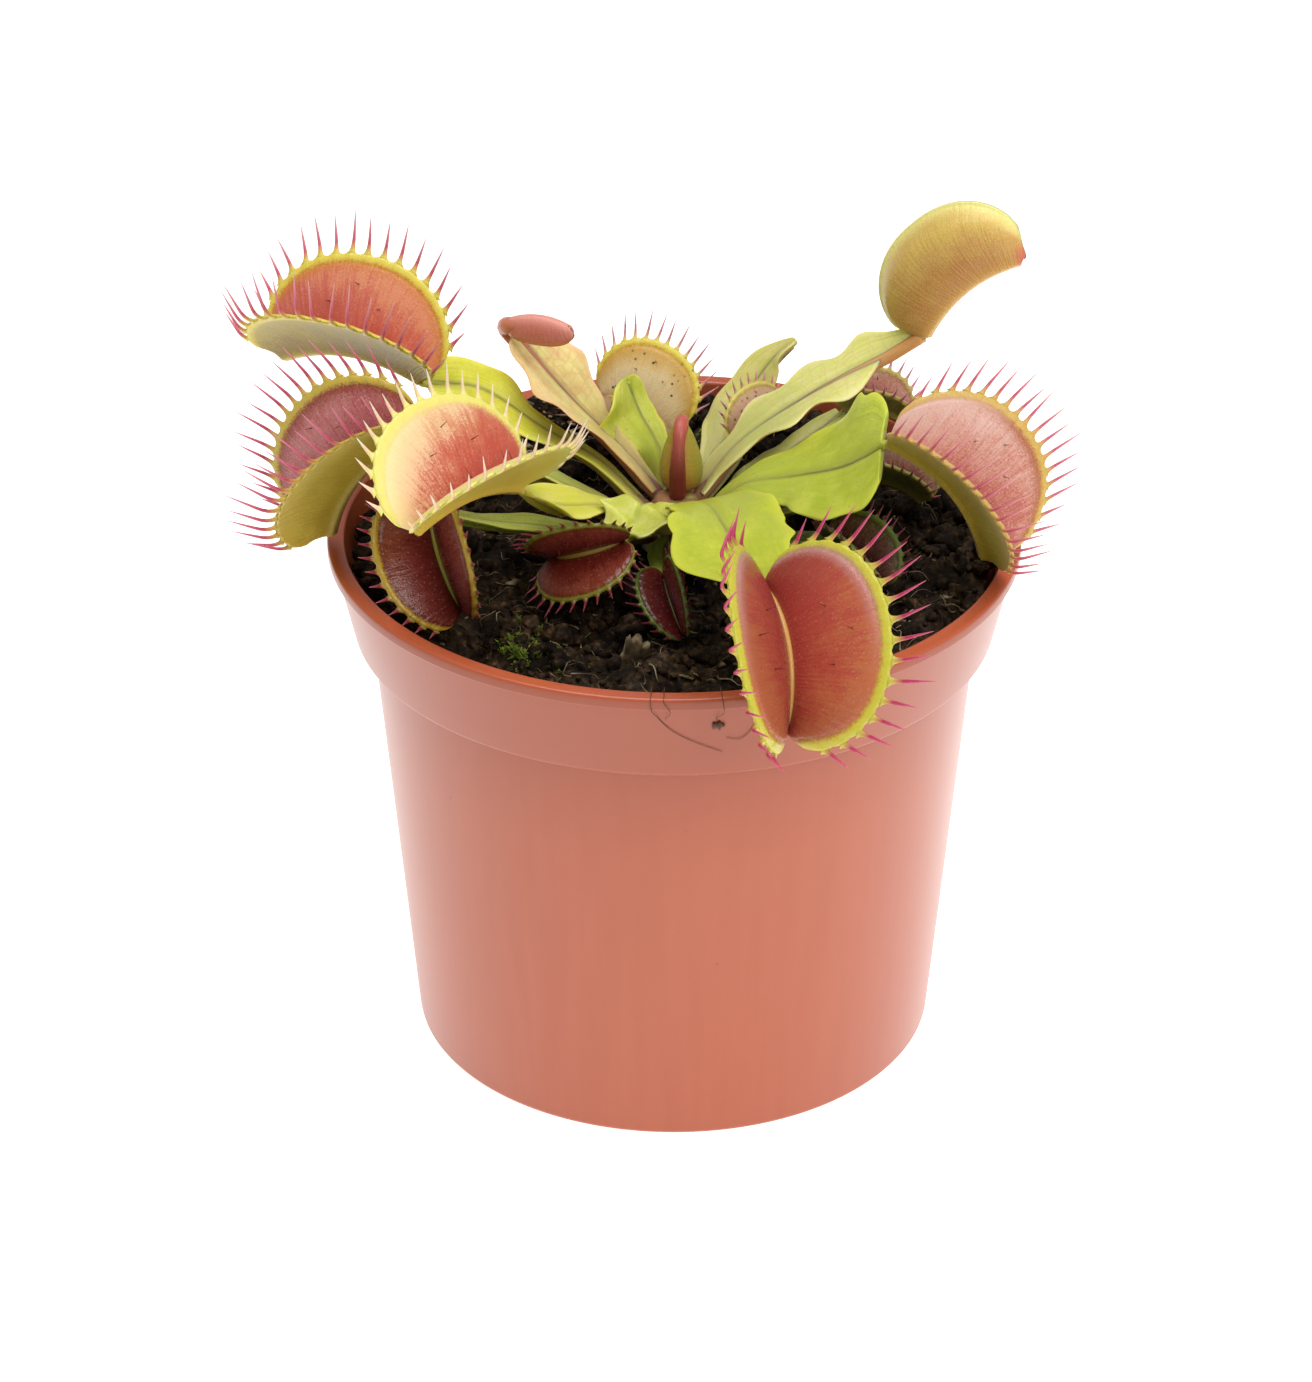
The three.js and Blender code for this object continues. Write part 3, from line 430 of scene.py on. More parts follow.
# Weathered bark and straw, IOR 1.45 and roughness 0.85: matt scraps, grey-brown to straw-coloured in
# patches 3 mm across.
BARK_PATCH_MM = 3.0
scraps, tree = start_material("bark_and_straw_weathered")
place = add(tree, "ShaderNodeNewGeometry").outputs["Position"]
patch = add(tree, "ShaderNodeTexNoise", {"Vector": place, "Scale": 1 / (BARK_PATCH_MM * MM), "Detail": 3})
shade = add(tree, "ShaderNodeValToRGB", {"Fac": patch.outputs["Fac"]},
            stops=[(0.3, "#251b12"), (0.46, "#54452f"), (0.57, "#8a785a"), (0.7, "#b8ac90")])
shader = add(tree, "ShaderNodeBsdfPrincipled", {
    "Base Color": shade.outputs[0], "Roughness": 0.85, "IOR": 1.45})
add(tree, "ShaderNodeOutputMaterial", {"Surface": shader.outputs[0]})

flakes = Pile()
for i in range(FLAKES):
    x, y = on_peat(rng)
    if i < BACK_FLAKES:
        a = math.radians(rng.uniform(*FLAKE_ARC))
        r = rng.uniform(*FLAKE_RADII)
        x, y = r * math.cos(a), r * math.sin(a)
    corners = rng.integers(5, 8)
    spread = np.sort(rng.uniform(0, 2 * np.pi, corners))
    reach = min(0.3 + rng.exponential(0.45), 2.0) * rng.uniform(0.6, 1.0, corners)
    outline = np.stack([reach * np.cos(spread), 0.6 * reach * np.sin(spread), np.zeros(corners)], 1)
    lift = np.array([0, 0, rng.uniform(0.08, 0.2)])
    plate = np.concatenate([outline + lift, outline - lift])
    tilt = np.eye(3) + 0.35 * rng.normal(size=(3, 3))
    faces = [list(range(corners)), list(range(corners, 2 * corners))[::-1]]
    faces += [[k, k + corners, (k + 1) % corners + corners, (k + 1) % corners] for k in range(corners)]
    heap = FLAKE_RISE * smoothstep(math.hypot(x, y), FLAKE_RISE_FROM, FLAKE_RADII[1])
    heap = heap * heap_at(x, y, FLAKE_SPREAD)
    flakes.add(plate @ np.linalg.qr(tilt)[0] + (x, y, peat_height(x, y) + 0.5 + heap), faces)
# A pale chunk of bark leans in the peat at the front, split along its grain.
points, faces = ball(4)
px, py, pz = points.T
chunk = np.sign(points) * np.abs(points) ** 0.6 * CHUNK_SIZES
split = 1 + 0.16 * np.sin(9 * px + 2 * pz) + 0.07 * np.sin(23 * px + 5 * py)
split = split + 0.06 * np.sin(11 * pz + 3 * px)
c, s = math.cos(CHUNK_LEAN), math.sin(CHUNK_LEAN)
leaning = (chunk * split[:, None]) @ np.array([[c, 0, s], [0, 1, 0], [-s, 0, c]])
flakes.add(leaning + (*CHUNK_PLACE, peat_height(*CHUNK_PLACE) + CHUNK_LIFT), faces)
flakes.make("bark_flakes", scraps, "peat")

# Fibres, twig and root hairs
# Thin brown peat fibres lie over the crumbs. A dark twig leans at the right of the crown, and fine dead roots
# hang over the front of the rim and cling to the collar.
FIBRES, FIBRE_STEPS, FIBRE_POINTS = 420, 6, 10
FIBRE_LENGTHS, FIBRE_RADII, FIBRE_LIFTS = (2, 8), (0.05, 0.15), (0.1, 0.9)
FIBRE_INNER, FIBRE_OUTER, FIBRE_STOP = 5.5, 39.5, 40
UP = np.array([0.0, 0.0, 1.0])


def unit(vectors):
    """The vectors at length 1."""
    return vectors / np.maximum(np.linalg.norm(vectors, axis=-1, keepdims=True), 1e-9)


def rod(centres, widths, thicknesses, side=UP, sides=6):
    """A closed rod: its half widths lie along side, and its half thicknesses across side and the rod."""
    centres = np.asarray(centres, float)
    count = len(centres)
    along = unit(np.gradient(centres, axis=0))
    side = np.broadcast_to(side, centres.shape)
    side = unit(side - along * (side * along).sum(1, keepdims=True))
    other = np.cross(along, side)
    angles = np.linspace(0, 2 * np.pi, sides, endpoint=False)
    across, through = np.cos(angles)[None, :, None], np.sin(angles)[None, :, None]
    wide = np.broadcast_to(widths, count)[:, None, None] * across * side[:, None]
    thick = np.broadcast_to(thicknesses, count)[:, None, None] * through * other[:, None]
    points = (centres[:, None] + wide + thick).reshape(-1, 3)
    faces = grid_faces(count, sides, closed=True)
    faces += [list(range(sides))[::-1], [(count - 1) * sides + k for k in range(sides)]]
    return points, faces


def smooth_path(places, count):
    """A smooth curve through the places: count points evenly along it, or those at given shares of it, and
    its length."""
    places = [np.array(p, float) for p in places]
    places = [2 * places[0] - places[1]] + places + [2 * places[-1] - places[-2]]
    dense = []
    for p0, p1, p2, p3 in zip(places, places[1:], places[2:], places[3:]):
        d0, d1, d2 = [max(np.linalg.norm(b - a), 1e-6) ** 0.5 for a, b in ((p0, p1), (p1, p2), (p2, p3))]
        t1 = ((p1 - p0) / d0 - (p2 - p0) / (d0 + d1) + (p2 - p1) / d1) * d1
        t2 = ((p2 - p1) / d1 - (p3 - p1) / (d1 + d2) + (p3 - p2) / d2) * d1
        square, cube = 3 * (p2 - p1) - 2 * t1 - t2, 2 * (p1 - p2) + t1 + t2
        for t in np.linspace(0, 1, 60, endpoint=False):
            dense.append(p1 + t1 * t + square * t ** 2 + cube * t ** 3)
    dense = np.array(dense + [places[-2]])
    gone = np.concatenate([[0], np.cumsum(np.linalg.norm(np.diff(dense, axis=0), axis=1))])
    shares = np.asarray(count) if np.ndim(count) else np.linspace(0, 1, count)
    spots = np.stack([np.interp(shares * gone[-1], gone, dense[:, k]) for k in range(3)], 1)
    return spots, gone[-1]


fibres = Pile()
for i in range(FIBRES):
    x, y = on_peat(rng, FIBRE_INNER, FIBRE_OUTER)
    z = peat_height(x, y) + rng.uniform(*FIBRE_LIFTS)
    heading, length = rng.uniform(0, 2 * np.pi), rng.uniform(*FIBRE_LENGTHS)
    places = []
    for _ in range(FIBRE_STEPS):
        places.append((x, y, z))
        heading += rng.normal(0, 0.5)
        x = x + math.cos(heading) * length / FIBRE_STEPS
        y = y + math.sin(heading) * length / FIBRE_STEPS
        if math.hypot(x, y) > FIBRE_STOP:
            break
        z = peat_height(x, y) + rng.uniform(*FIBRE_LIFTS)
    if len(places) < 3:
        continue
    path, _ = smooth_path(places, FIBRE_POINTS)
    radius = rng.uniform(*FIBRE_RADII) * np.linspace(1, 0.4, FIBRE_POINTS)
    fibres.add(*rod(path, radius, radius, side=[0.3, 0.5, 0.8], sides=4))
fibres.make("peat_fibres", scraps, "peat")

# Dead root and twig, IOR 1.45 and roughness 0.6: dry, dark brown and slightly shiny, browner in patches.
ROOT_PATCH_MM = 1.5
dead_root, tree = start_material("dead_root_dry")
place = add(tree, "ShaderNodeNewGeometry").outputs["Position"]
patch = add(tree, "ShaderNodeTexNoise", {"Vector": place, "Scale": 1 / (ROOT_PATCH_MM * MM), "Detail": 2})
shade = add(tree, "ShaderNodeValToRGB", {"Fac": patch.outputs["Fac"]},
            stops=[(0.35, "#3c2218"), (0.7, "#74482f")])
shader = add(tree, "ShaderNodeBsdfPrincipled", {
    "Base Color": shade.outputs[0], "Roughness": 0.6, "IOR": 1.45})
add(tree, "ShaderNodeOutputMaterial", {"Surface": shader.outputs[0]})

# A root's radius, the gaps that it leaves to the collar and the lip, and how far under the lip it hugs that.
ROOT_RADIUS, ROOT_POINTS, COLLAR_GAP, LIP_GAP, UNDER_LIP = 0.06, 40, 0.12, 0.1, 0.6


def on_collar(angle, height):
    """A place just off the outside of the collar, at an angle in degrees from +X and a height."""
    share = (height - COLLAR_FOOT) / (POT_HEIGHT - LIP_HEIGHT - COLLAR_FOOT)
    radius = COLLAR_FOOT_RADIUS + (COLLAR_TOP_RADIUS - COLLAR_FOOT_RADIUS) * share + COLLAR_GAP
    if height > POT_HEIGHT - LIP_HEIGHT - UNDER_LIP:
        radius = RIM_RADIUS + LIP_GAP
    return [radius * math.cos(math.radians(angle)), radius * math.sin(math.radians(angle)), height]


# Each root by its places on the collar, as an angle and a height. It comes to the first of them out of the
# peat, up the inside of the wall and over the lip, through OVER_LIP's radii and heights.
OVER_LIP = [(40.0, 67.5), (42.2, 71.7), (44.2, POT_HEIGHT + LIP_GAP)]
ROOTS = [
    [(266.1, 71.2), (266.3, 70.0), (267.1, 68.6), (269.2, 66.6), (272.5, 64.8), (275.5, 63.6), (277.8, 62.7)],
    [(268.2, 71.2), (269.2, 69.8), (268.4, 68.2)],
    [(277.4, 71.2), (277.6, 69.6), (276.6, 68.2), (277.3, 66.6)],
    [(281.6, 71.2), (283.4, 68.8), (282.6, 66.2), (280.6, 64.6), (278.4, 65.0)],
    [(284.0, 71.2), (285.2, 68.6), (287.3, 66.2)],
]
# A clot of dried peat hangs in the roots.
CLOT_PLACE, CLOT_SIZES = (276.9, 67.1), (0.75, 0.3, 0.6)
TWIG_PATH = [(9.5, 5.6, 67.8), (12.6, 7.1, 70.2), (16, 8.6, 70.6), (19.5, 10.2, 70.0)]
TWIG_RADII, TWIG_POINTS, TWIG_KNOTS = (0.75, 0.5), 24, 0.12

roots = Pile()
for spots in ROOTS:
    first = math.radians(spots[0][0])
    over = [(r * math.cos(first), r * math.sin(first), z) for r, z in OVER_LIP]
    path, _ = smooth_path(over + [on_collar(*spot) for spot in spots], ROOT_POINTS)
    radius = ROOT_RADIUS * np.linspace(1.2, 0.5, ROOT_POINTS)
    roots.add(*rod(path, radius, radius, side=[0.2, 0.9, 0.3], sides=5))
points, faces = ball(3)
clot = points * CLOT_SIZES * (1 + 0.3 * np.sin(7 * points[:, :1]))
roots.add(np.array(on_collar(*CLOT_PLACE)) + clot, faces)
roots.make("root_hairs", dead_root, "peat")

twig = Pile()
path, _ = smooth_path(TWIG_PATH, TWIG_POINTS)
radius = np.linspace(*TWIG_RADII, TWIG_POINTS) * (1 + TWIG_KNOTS * np.sin(np.arange(TWIG_POINTS) * 1.9))
twig.add(*rod(path, radius, radius, sides=9))
twig.make("twig", dead_root, "peat")

# Moss
# A tuft of bright green moss has seeded itself on the peat at the front left: short upright shoots with
# pointed leaves round each of them.
MOSS_SHOOTS, MOSS_LEAVES, MOSS_OUTER = 95, 8, 39.5
MOSS_HEIGHTS, MOSS_LEAF_LENGTHS = (0.5, 1.5), (0.4, 0.8)
STEM_RADIUS, MOSS_LEAF_WIDTHS, MOSS_LEAF_THICKNESS = 0.08, [0.08, 0.16, 0.12, 0.01], 0.03
# The middle of each cluster and how wide it is. The last is a few shoots at the back.
MOSS_SPOTS = [
    (-20.4, -24.0, 1.6), (-19.2, -24.8, 1.6), (-17.5, -24.0, 4.0), (-20.0, -24.4, 1.0), (6.0, 31.0, 3.0)]

# Living moss, IOR 1.4 and roughness 0.6: leaves of one layer of cells, soft green where light shines through.
MOSS_PATCH_MM = 2.5
moss_leaf, tree = start_material("moss_living")
place = add(tree, "ShaderNodeNewGeometry").outputs["Position"]
patch = add(tree, "ShaderNodeTexNoise", {"Vector": place, "Scale": 1 / (MOSS_PATCH_MM * MM), "Detail": 2})
shade = add(tree, "ShaderNodeValToRGB", {"Fac": patch.outputs["Fac"]},
            stops=[(0.3, "#323e12"), (0.5, "#5c701e"), (0.7, "#94a438")])
shader = add(tree, "ShaderNodeBsdfPrincipled", {
    "Base Color": shade.outputs[0], "Roughness": 0.6, "IOR": 1.4, "Subsurface Weight": 0.2,
    "Subsurface Radius": (0.5, 0.8, 0.2), "Subsurface Scale": 0.4 * MM})
add(tree, "ShaderNodeOutputMaterial", {"Surface": shader.outputs[0]})

moss = Pile()
for i in range(MOSS_SHOOTS):
    x, y, spread = MOSS_SPOTS[i % len(MOSS_SPOTS)]
    x, y = x + rng.normal(0, spread / 2), y + rng.normal(0, spread / 2)
    if math.hypot(x, y) > MOSS_OUTER:
        continue
    foot = np.array([x, y, peat_height(x, y) - 0.3])
    lean = unit(np.array([rng.normal(0, 0.3), rng.normal(0, 0.3), 1.0]))
    tall = rng.uniform(*MOSS_HEIGHTS)
    stem = foot + lean * np.linspace(0, tall, 4)[:, None]
    moss.add(*rod(stem, STEM_RADIUS, STEM_RADIUS, side=[1, 0, 0], sides=4))
    for _ in range(MOSS_LEAVES):
        out = rng.uniform(0, 2 * np.pi)
        away = unit(np.array([math.cos(out), math.sin(out), rng.uniform(0.2, 1.0)]))
        base = foot + lean * tall * rng.uniform(0.25, 1.0)
        path = base + away * np.linspace(0, rng.uniform(*MOSS_LEAF_LENGTHS), 4)[:, None]
        moss.add(*rod(path, MOSS_LEAF_WIDTHS, MOSS_LEAF_THICKNESS, side=np.cross(away, UP), sides=4))
moss.make("moss_tuft", moss_leaf, "peat")

# Rootstock
# The crown is a short fleshy stock of old leaf bases, white under the peat and flushed green and dusky red
# where the leaves leave it. It grows up through the hole in the peat, in three whorls of leaves.
CROWN_TOP, BASE_GAP = 72.5, 0.45
# The radius and height of each whorl.
WHORLS = {"low": (5, 68.4), "middle": (4.1, 70.2), "high": (3.2, 72.0)}
STOCK_SIDES, FLUTES, FLUTE_DEPTH = 72, 4, 0.05

# Fleshy stock, IOR 1.4 and roughness 0.5: cream in the peat, then green, dusky red and ochre towards the top.
STOCK_PATCH_MM, FLUSH_FROM, FLUSH_FULL = 1.6, 66, 73
stock, tree = start_material("rootstock_fleshy")
place = add(tree, "ShaderNodeNewGeometry").outputs["Position"]
height = add(tree, "ShaderNodeSeparateXYZ", {0: place}).outputs["Z"]
rise = add(tree, "ShaderNodeMapRange", {
    "Value": height, "From Min": FLUSH_FROM * MM, "From Max": FLUSH_FULL * MM})
patch = add(tree, "ShaderNodeTexNoise", {"Vector": place, "Scale": 1 / (STOCK_PATCH_MM * MM), "Detail": 3})
mixed = add(tree, "ShaderNodeMath", {0: rise.outputs[0], 1: patch.outputs["Fac"]}, operation="MULTIPLY")
shade = add(tree, "ShaderNodeValToRGB", {"Fac": mixed.outputs[0]},
            stops=[(0.05, "#cfc8a0"), (0.25, "#8d9244"), (0.4, "#8a5a48"), (0.6, "#a3793e")])
shader = add(tree, "ShaderNodeBsdfPrincipled", {
    "Base Color": shade.outputs[0], "Roughness": 0.5, "IOR": 1.4})
add(tree, "ShaderNodeOutputMaterial", {"Surface": shader.outputs[0]})

stock_outline = filleted([
    (0, RHIZOME_FOOT, 0), (2.2, RHIZOME_FOOT + 0.6, 0.4), (3.4, RHIZOME_FOOT + 7, 1), (RHIZOME_RADIUS, 60, 2),
    (RHIZOME_RADIUS, 66.5, 1), *[(radius - BASE_GAP, height, 0.6) for radius, height in WHORLS.values()],
    (0, CROWN_TOP, 0),
])
crown = Pile()
points, faces = turned(stock_outline, STOCK_SIDES)
# The old bases wind round it as shallow flutes.
angles = np.arctan2(points[:, 1], points[:, 0])
winding = np.abs(np.sin(FLUTES * angles + points[:, 2] * 1.3))
points[:, :2] *= (1 - FLUTE_DEPTH * winding * smoothstep(points[:, 2], 60, 66))[:, None]
crown.add(points + (*CROWN, 0), faces)
crown.make("crown_stock", stock, "rhizome", "rhizome")

# Leaf blades
# Each leaf's stalk is a broad wing of thin juicy tissue on a thick midrib. It is bright yellow-green, paler
# at its waved edges and flushed dusky red where it leaves the crown.

# One entry for each leaf. One with no path is a bud in the crown, and one with no trap is still young.
# whorl and heading: where it leaves the crown, in degrees from +X towards +Y.
# path: the points that the blade passes on its way to the trap.
# half_width: half its width at widest, which is a share of the way along.
# roll: how far its upper side turns from facing up, at the crown and at the trap.
# fold: the rise of its wings from the midrib.
# trap start and end: the ends of the hinge. trap roll: how far the mouth turns from facing up.
# open: the angle of the right and the left lobe from the mouth's middle, looking along the hinge.
# curl: outwards in an open lobe, and inwards, so negative, in a shut one.
# bow: the rise of the hinge's middle. fan: the spread of the ribs.
LEAVES = [
    dict(
        name="left_upper", whorl="middle", heading=165, half_width=4.4, widest=0.76,
        roll=[0, -30], fold=0.2,
        path=[[-9.7, 11.8, 75.2], [-17, 14.1, 78.7], [-25.5, 15.2, 84]],
        trap=dict(
            start=[-33, 12, 86.5], end=[-51.5, 19.5, 86.5], roll=-7, depth=13.3, end_depth=0.37,
            open=[36, 40], curl=34, bow=2.6, fan=43, teeth=17, tooth=5.2,
        ),
    ),
    dict(
        name="left_middle", whorl="low", heading=186, half_width=3, widest=0.6, roll=[0, -15], fold=0.2,
        path=[[-9.7, 7, 71.8], [-15.5, 6, 75.2], [-23.5, 2, 81.5]],
        trap=dict(
            start=[-32, -6.5, 88.5], end=[-44.2, -3.8, 72.5], roll=-18, depth=12.6, end_depth=0.45,
            open=[36, 41], curl=34, bow=2.6, fan=29, teeth=17, tooth=5.5,
        ),
    ),
    dict(
        name="left_front", whorl="middle", heading=208, half_width=3.7, widest=0.55,
        roll=[0, -25], fold=0.2,
        path=[[-9.6, 1.2, 74], [-15, -4, 76.8]],
        trap=dict(
            start=[-19.7, -11.6, 83.1], end=[-32.2, -25, 83.9], roll=-5, depth=13.9, end_depth=0.3,
            open=[45, 44], curl=35, bow=2, fan=49, teeth=17, tooth=4,
        ),
    ),
    dict(
        name="left_low", whorl="low", heading=222, half_width=2.4, widest=0.35, roll=[0, 0], fold=0.15,
        path=[[-9.5, 2, 69.6], [-18, -1.5, 72.5], [-25, -5.5, 75.4]],
        trap=dict(
            start=[-30.8, -8.2, 78.2], end=[-26.9, -17.4, 68.9], roll=39, depth=10, end_depth=0.46,
            open=[37, 42], curl=34, bow=2, fan=38, teeth=14, tooth=2.3,
        ),
    ),
    dict(
        name="front_upper", whorl="middle", heading=258, half_width=3, widest=0.55, roll=[0, 0], fold=0.15,
        path=[[-3.9, -2, 73.6]],
        trap=dict(
            start=[-6.7, -9.6, 74.7], end=[-15, -7.6, 71.5], roll=-80, depth=8.5, end_depth=0.3,
            open=[39, 32], curl=34, bow=1.5, fan=50, teeth=14, tooth=2.4,
        ),
    ),
    dict(
        name="front_lower", whorl="low", heading=262, half_width=2, widest=0.5, roll=[0, 0], fold=0.15,
        path=[[-1.4, -3, 69.8]],
        trap=dict(
            start=[-1.2, -11.4, 70.4], end=[1.2, -21.7, 67.4], roll=30, depth=5, end_depth=0.4,
            open=[40, 40], curl=34, bow=1, fan=40, teeth=11, tooth=2,
        ),
    ),
    dict(
        name="front_right", whorl="high", heading=288, half_width=7.8, widest=0.46, roll=[0, 0], fold=0.12,
        path=[[4, -4, 77], [6.8, -20, 81]],
        trap=dict(
            start=[10.8, -33.5, 80.9], end=[13.4, -46, 67.7], roll=-16, depth=15.3, end_depth=0.31,
            open=[52, 32], curl=36, bow=3.6, fan=47, teeth=17, tooth=5.5,
        ),
    ),
    dict(
        name="right_middle", whorl="middle", heading=340, half_width=8.6, widest=0.84,
        roll=[5, 46], fold=0,
        path=[[9, 6, 74.6], [16, 2.4, 77.8], [22, -2.8, 82]],
        trap=dict(
            start=[26.9, -6.7, 87.1], end=[39.6, -10.1, 72.3], roll=7, depth=13.1, end_depth=0.44,
            open=[47, 45], curl=34, bow=2.9, fan=22, teeth=17, tooth=5.2,
        ),
    ),
    dict(
        name="right_upper", whorl="high", heading=22, half_width=3.7, widest=0.56, roll=[0, 30], fold=0.15,
        path=[[8, 12.3, 77], [17, 14, 83.2]],
        trap=dict(
            start=[32.5, 15.6, 91.5], end=[44.7, 12.6, 104.1], roll=-11, depth=13, end_depth=0.39,
            open=[3, 3], curl=-125, bow=1.8, fan=31, teeth=0, tooth=0,
        ),
    ),
    dict(
        name="back_left", whorl="high", heading=140, half_width=3.8, widest=0.55, roll=[0, -10], fold=0.6,
        path=[[-6, 12, 76], [-14.2, 17.8, 82], [-21.9, 22.8, 89.6]],
        trap=dict(
            start=[-21.4, 19.2, 91.6], end=[-13.8, 16.6, 91.7], roll=172, depth=4.1, end_depth=0.3,
            open=[4, 4], curl=-125, bow=-0.9, fan=30, teeth=0, tooth=0,
        ),
    ),
    dict(
        name="back_middle", whorl="low", heading=96, half_width=1.6, widest=0.5, roll=[0, 0], fold=0.15,
        path=[[1.8, 19.4, 69.2], [0.7, 23, 70.1]],
        trap=dict(
            start=[-0.8, 25.8, 72.6], end=[-9.5, 29.9, 75.2], roll=-8, depth=9.4, end_depth=0.38,
            open=[42, 82], curl=34, bow=1.5, fan=42, teeth=15, tooth=3.4,
        ),
    ),
    dict(
        name="back_right", whorl="middle", heading=52, half_width=2, widest=0.5, roll=[0, 0], fold=0.2,
        path=[[5, 14.6, 71.4]],
        trap=dict(
            start=[8.4, 20.4, 74.2], end=[14.2, 26, 75.6], roll=0, depth=4.8, end_depth=0.38,
            open=[62, 28], curl=34, bow=0.8, fan=41, teeth=11, tooth=1.6,
        ),
    ),
    dict(
        name="right_low", whorl="low", heading=312, half_width=2.4, widest=0.6, roll=[0, 0], fold=0.15,
        path=[[8, 1.6, 69.1], [14.6, -0.6, 69.8]],
        trap=dict(
            start=[20, -3.4, 71.2], end=[26.4, -10.4, 68.6], roll=0, depth=6, end_depth=0.4,
            open=[40, 40], curl=34, bow=1, fan=40, teeth=13, tooth=1.7,
        ),
    ),
    dict(
        name="right_back", whorl="low", heading=347, half_width=2.8, widest=0.45, roll=[0, 0], fold=0.15,
        path=[[11.3, 7.2, 69.8], [19, 9.6, 70.8]],
        trap=dict(
            start=[26, 11.5, 72.6], end=[32.5, 9.5, 70.4], roll=0, depth=5.6, end_depth=0.4,
            open=[40, 40], curl=34, bow=0.8, fan=40, teeth=11, tooth=2.2,
        ),
    ),
    dict(
        name="right_far", whorl="low", heading=22, half_width=2.4, widest=0.5, roll=[0, 0], fold=0.15,
        path=[[10, 15, 70.6], [17.5, 20, 74]],
        trap=dict(
            start=[23, 23.5, 76.6], end=[30, 22.5, 76], roll=0, depth=6, end_depth=0.4,
            open=[40, 40], curl=34, bow=0.8, fan=40, teeth=11, tooth=2.4,
        ),
    ),
    dict(
        name="young_left", whorl="middle", heading=110, half_width=3.5, widest=0.7, roll=[0, 0], fold=0.15,
        path=[[-1.8, 15.4, 74.4], [-4.7, 18.9, 79], [-6.4, 20.2, 83.2]],
    ),
    dict(
        name="young_right", whorl="low", heading=58, half_width=2.8, widest=0.6, roll=[0, 0], fold=0.15,
        path=[[6.2, 20, 71], [9.8, 28.8, 75.8], [13.2, 31.6, 80], [16.4, 31.5, 83]],
    ),
    dict(
        name="centre_bud",
        trap=dict(
            start=[0.5, 7.3, 73.2], end=[0.9, 9.8, 82], roll=180, depth=6.4, end_depth=0.25,
            open=[22, 22], curl=-110, bow=-1, fan=10, teeth=0, tooth=0,
        ),
    ),
]
BLADE_THICKNESS, BASE_HALF_WIDTH, NECK_HALF_WIDTH, BLADE_ROUNDING = 0.7, 1.4, 0.6, 2.4
HINGE_DEPTH = 0.55
STATIONS, ACROSS, FINE_STATIONS = 72, 27, 401
# Waves along a blade: how deep, as a share of its half width, and how fast they come, over its length.
EDGE_WAVE, EDGE_WAVE_RATE, EDGE_WAVE_OFFSET = 0.11, 11, 2.1
UNEVEN, FINE_UNEVEN, RUFFLE, SCALLOP, SCALLOP_RATE = (0.035, 17), (0.02, 39), (0.035, 31), 0.02, 27
CREASE_DEPTH, CREASE_WIDTH = 0.22, 0.5
# How much further the left and the right wing of some blades spread past the plain form, looking from the
# crown along the blade, and how deep the scallops of their edges are.
SPREAD = {
    "back_left": (1.35, 1.0), "young_left": (1.6, 0.65), "right_upper": (1.2, 1.1), "front_upper": (2.6, 1.7),
    "front_right": (1.04, 1.26), "right_middle": (1.36, 1.0), "young_right": (1.5, 1.4)}
SCALLOPS = {
    "right_upper": 0.22, "right_middle": 0.015, "front_upper": 0.12, "front_right": 0.05, "back_left": 0.08}
# Wings that aren't of the plain form: shares of the way, and the share of its width that the right wing has
# there, then the same for the left wing. The front right leaf is narrow over the crumpled leaf beside it.
WING_FORMS = {
    "back_left": (([0.35, 0.6, 1], [0.6, 1.15, 1.0]), ([0.1, 0.3, 0.5, 0.7], [1.0, 1.7, 1.4, 1.0])),
    "front_right": (([0.2, 0.35, 0.46, 0.65, 0.8, 0.9], [1.0, 0.6, 0.57, 0.77, 1.16, 1.3]), ([0], [1])),
}
# Wings that change on their way: the side, 1 for right and -1 for left, the share of the width at first, how
# much it changes, and the shares of the way between which it does. The young leaf is broadest under its blunt
# tip, and the right upper leaf stops short of its trap, whose fleshy neck is bare.
WING_CHANGES = {
    "young_left": (-1, 1, 0.75, 0.45, 0.85), "left_upper": (1, 0.4, 0.6, 0.55, 0.72),
    "right_upper": (1, 1, -0.9, 0.72, 0.85)}
# The folded wings of the back left leaf stop short of the bud, and only its midrib hooks over into it.
FOLD_STOPS = (0.8, 0.92)
# The crumpled leaf over its neighbours' feet: its rise, the droop of its wings, and its folds.
CRUMPLE_RISE, CRUMPLE_DROOP, CRUMPLE_DEPTH, CRUMPLE_RATE, CRUMPLE_SLANT = 1.7, 0.12, 0.1, 24, 5
# The radius of the midrib at shares of its way, and how far it is sunk under the wing.
MIDRIB = ([0, 0.5, 1], [1.05, 0.75, 0.55])
MIDRIBS = {"back_left": ([0, 0.5, 0.86, 0.92, 1], [1.05, 0.9, 1.2, 1.15, 0.3]),
           "right_upper": ([0, 0.5, 1], [1.05, 0.8, 0.85])}
MIDRIB_SINK = ([0, 0.06, 0.5, 0.85, 1], [0.6, 0.95, 0.62, 0.48, 0.0])
MIDRIB_POINTS, MIDRIB_SIDES, MIDRIB_IN_CROWN, YOUNG_MIDRIB_END = 40, 12, 1.6, 0.97

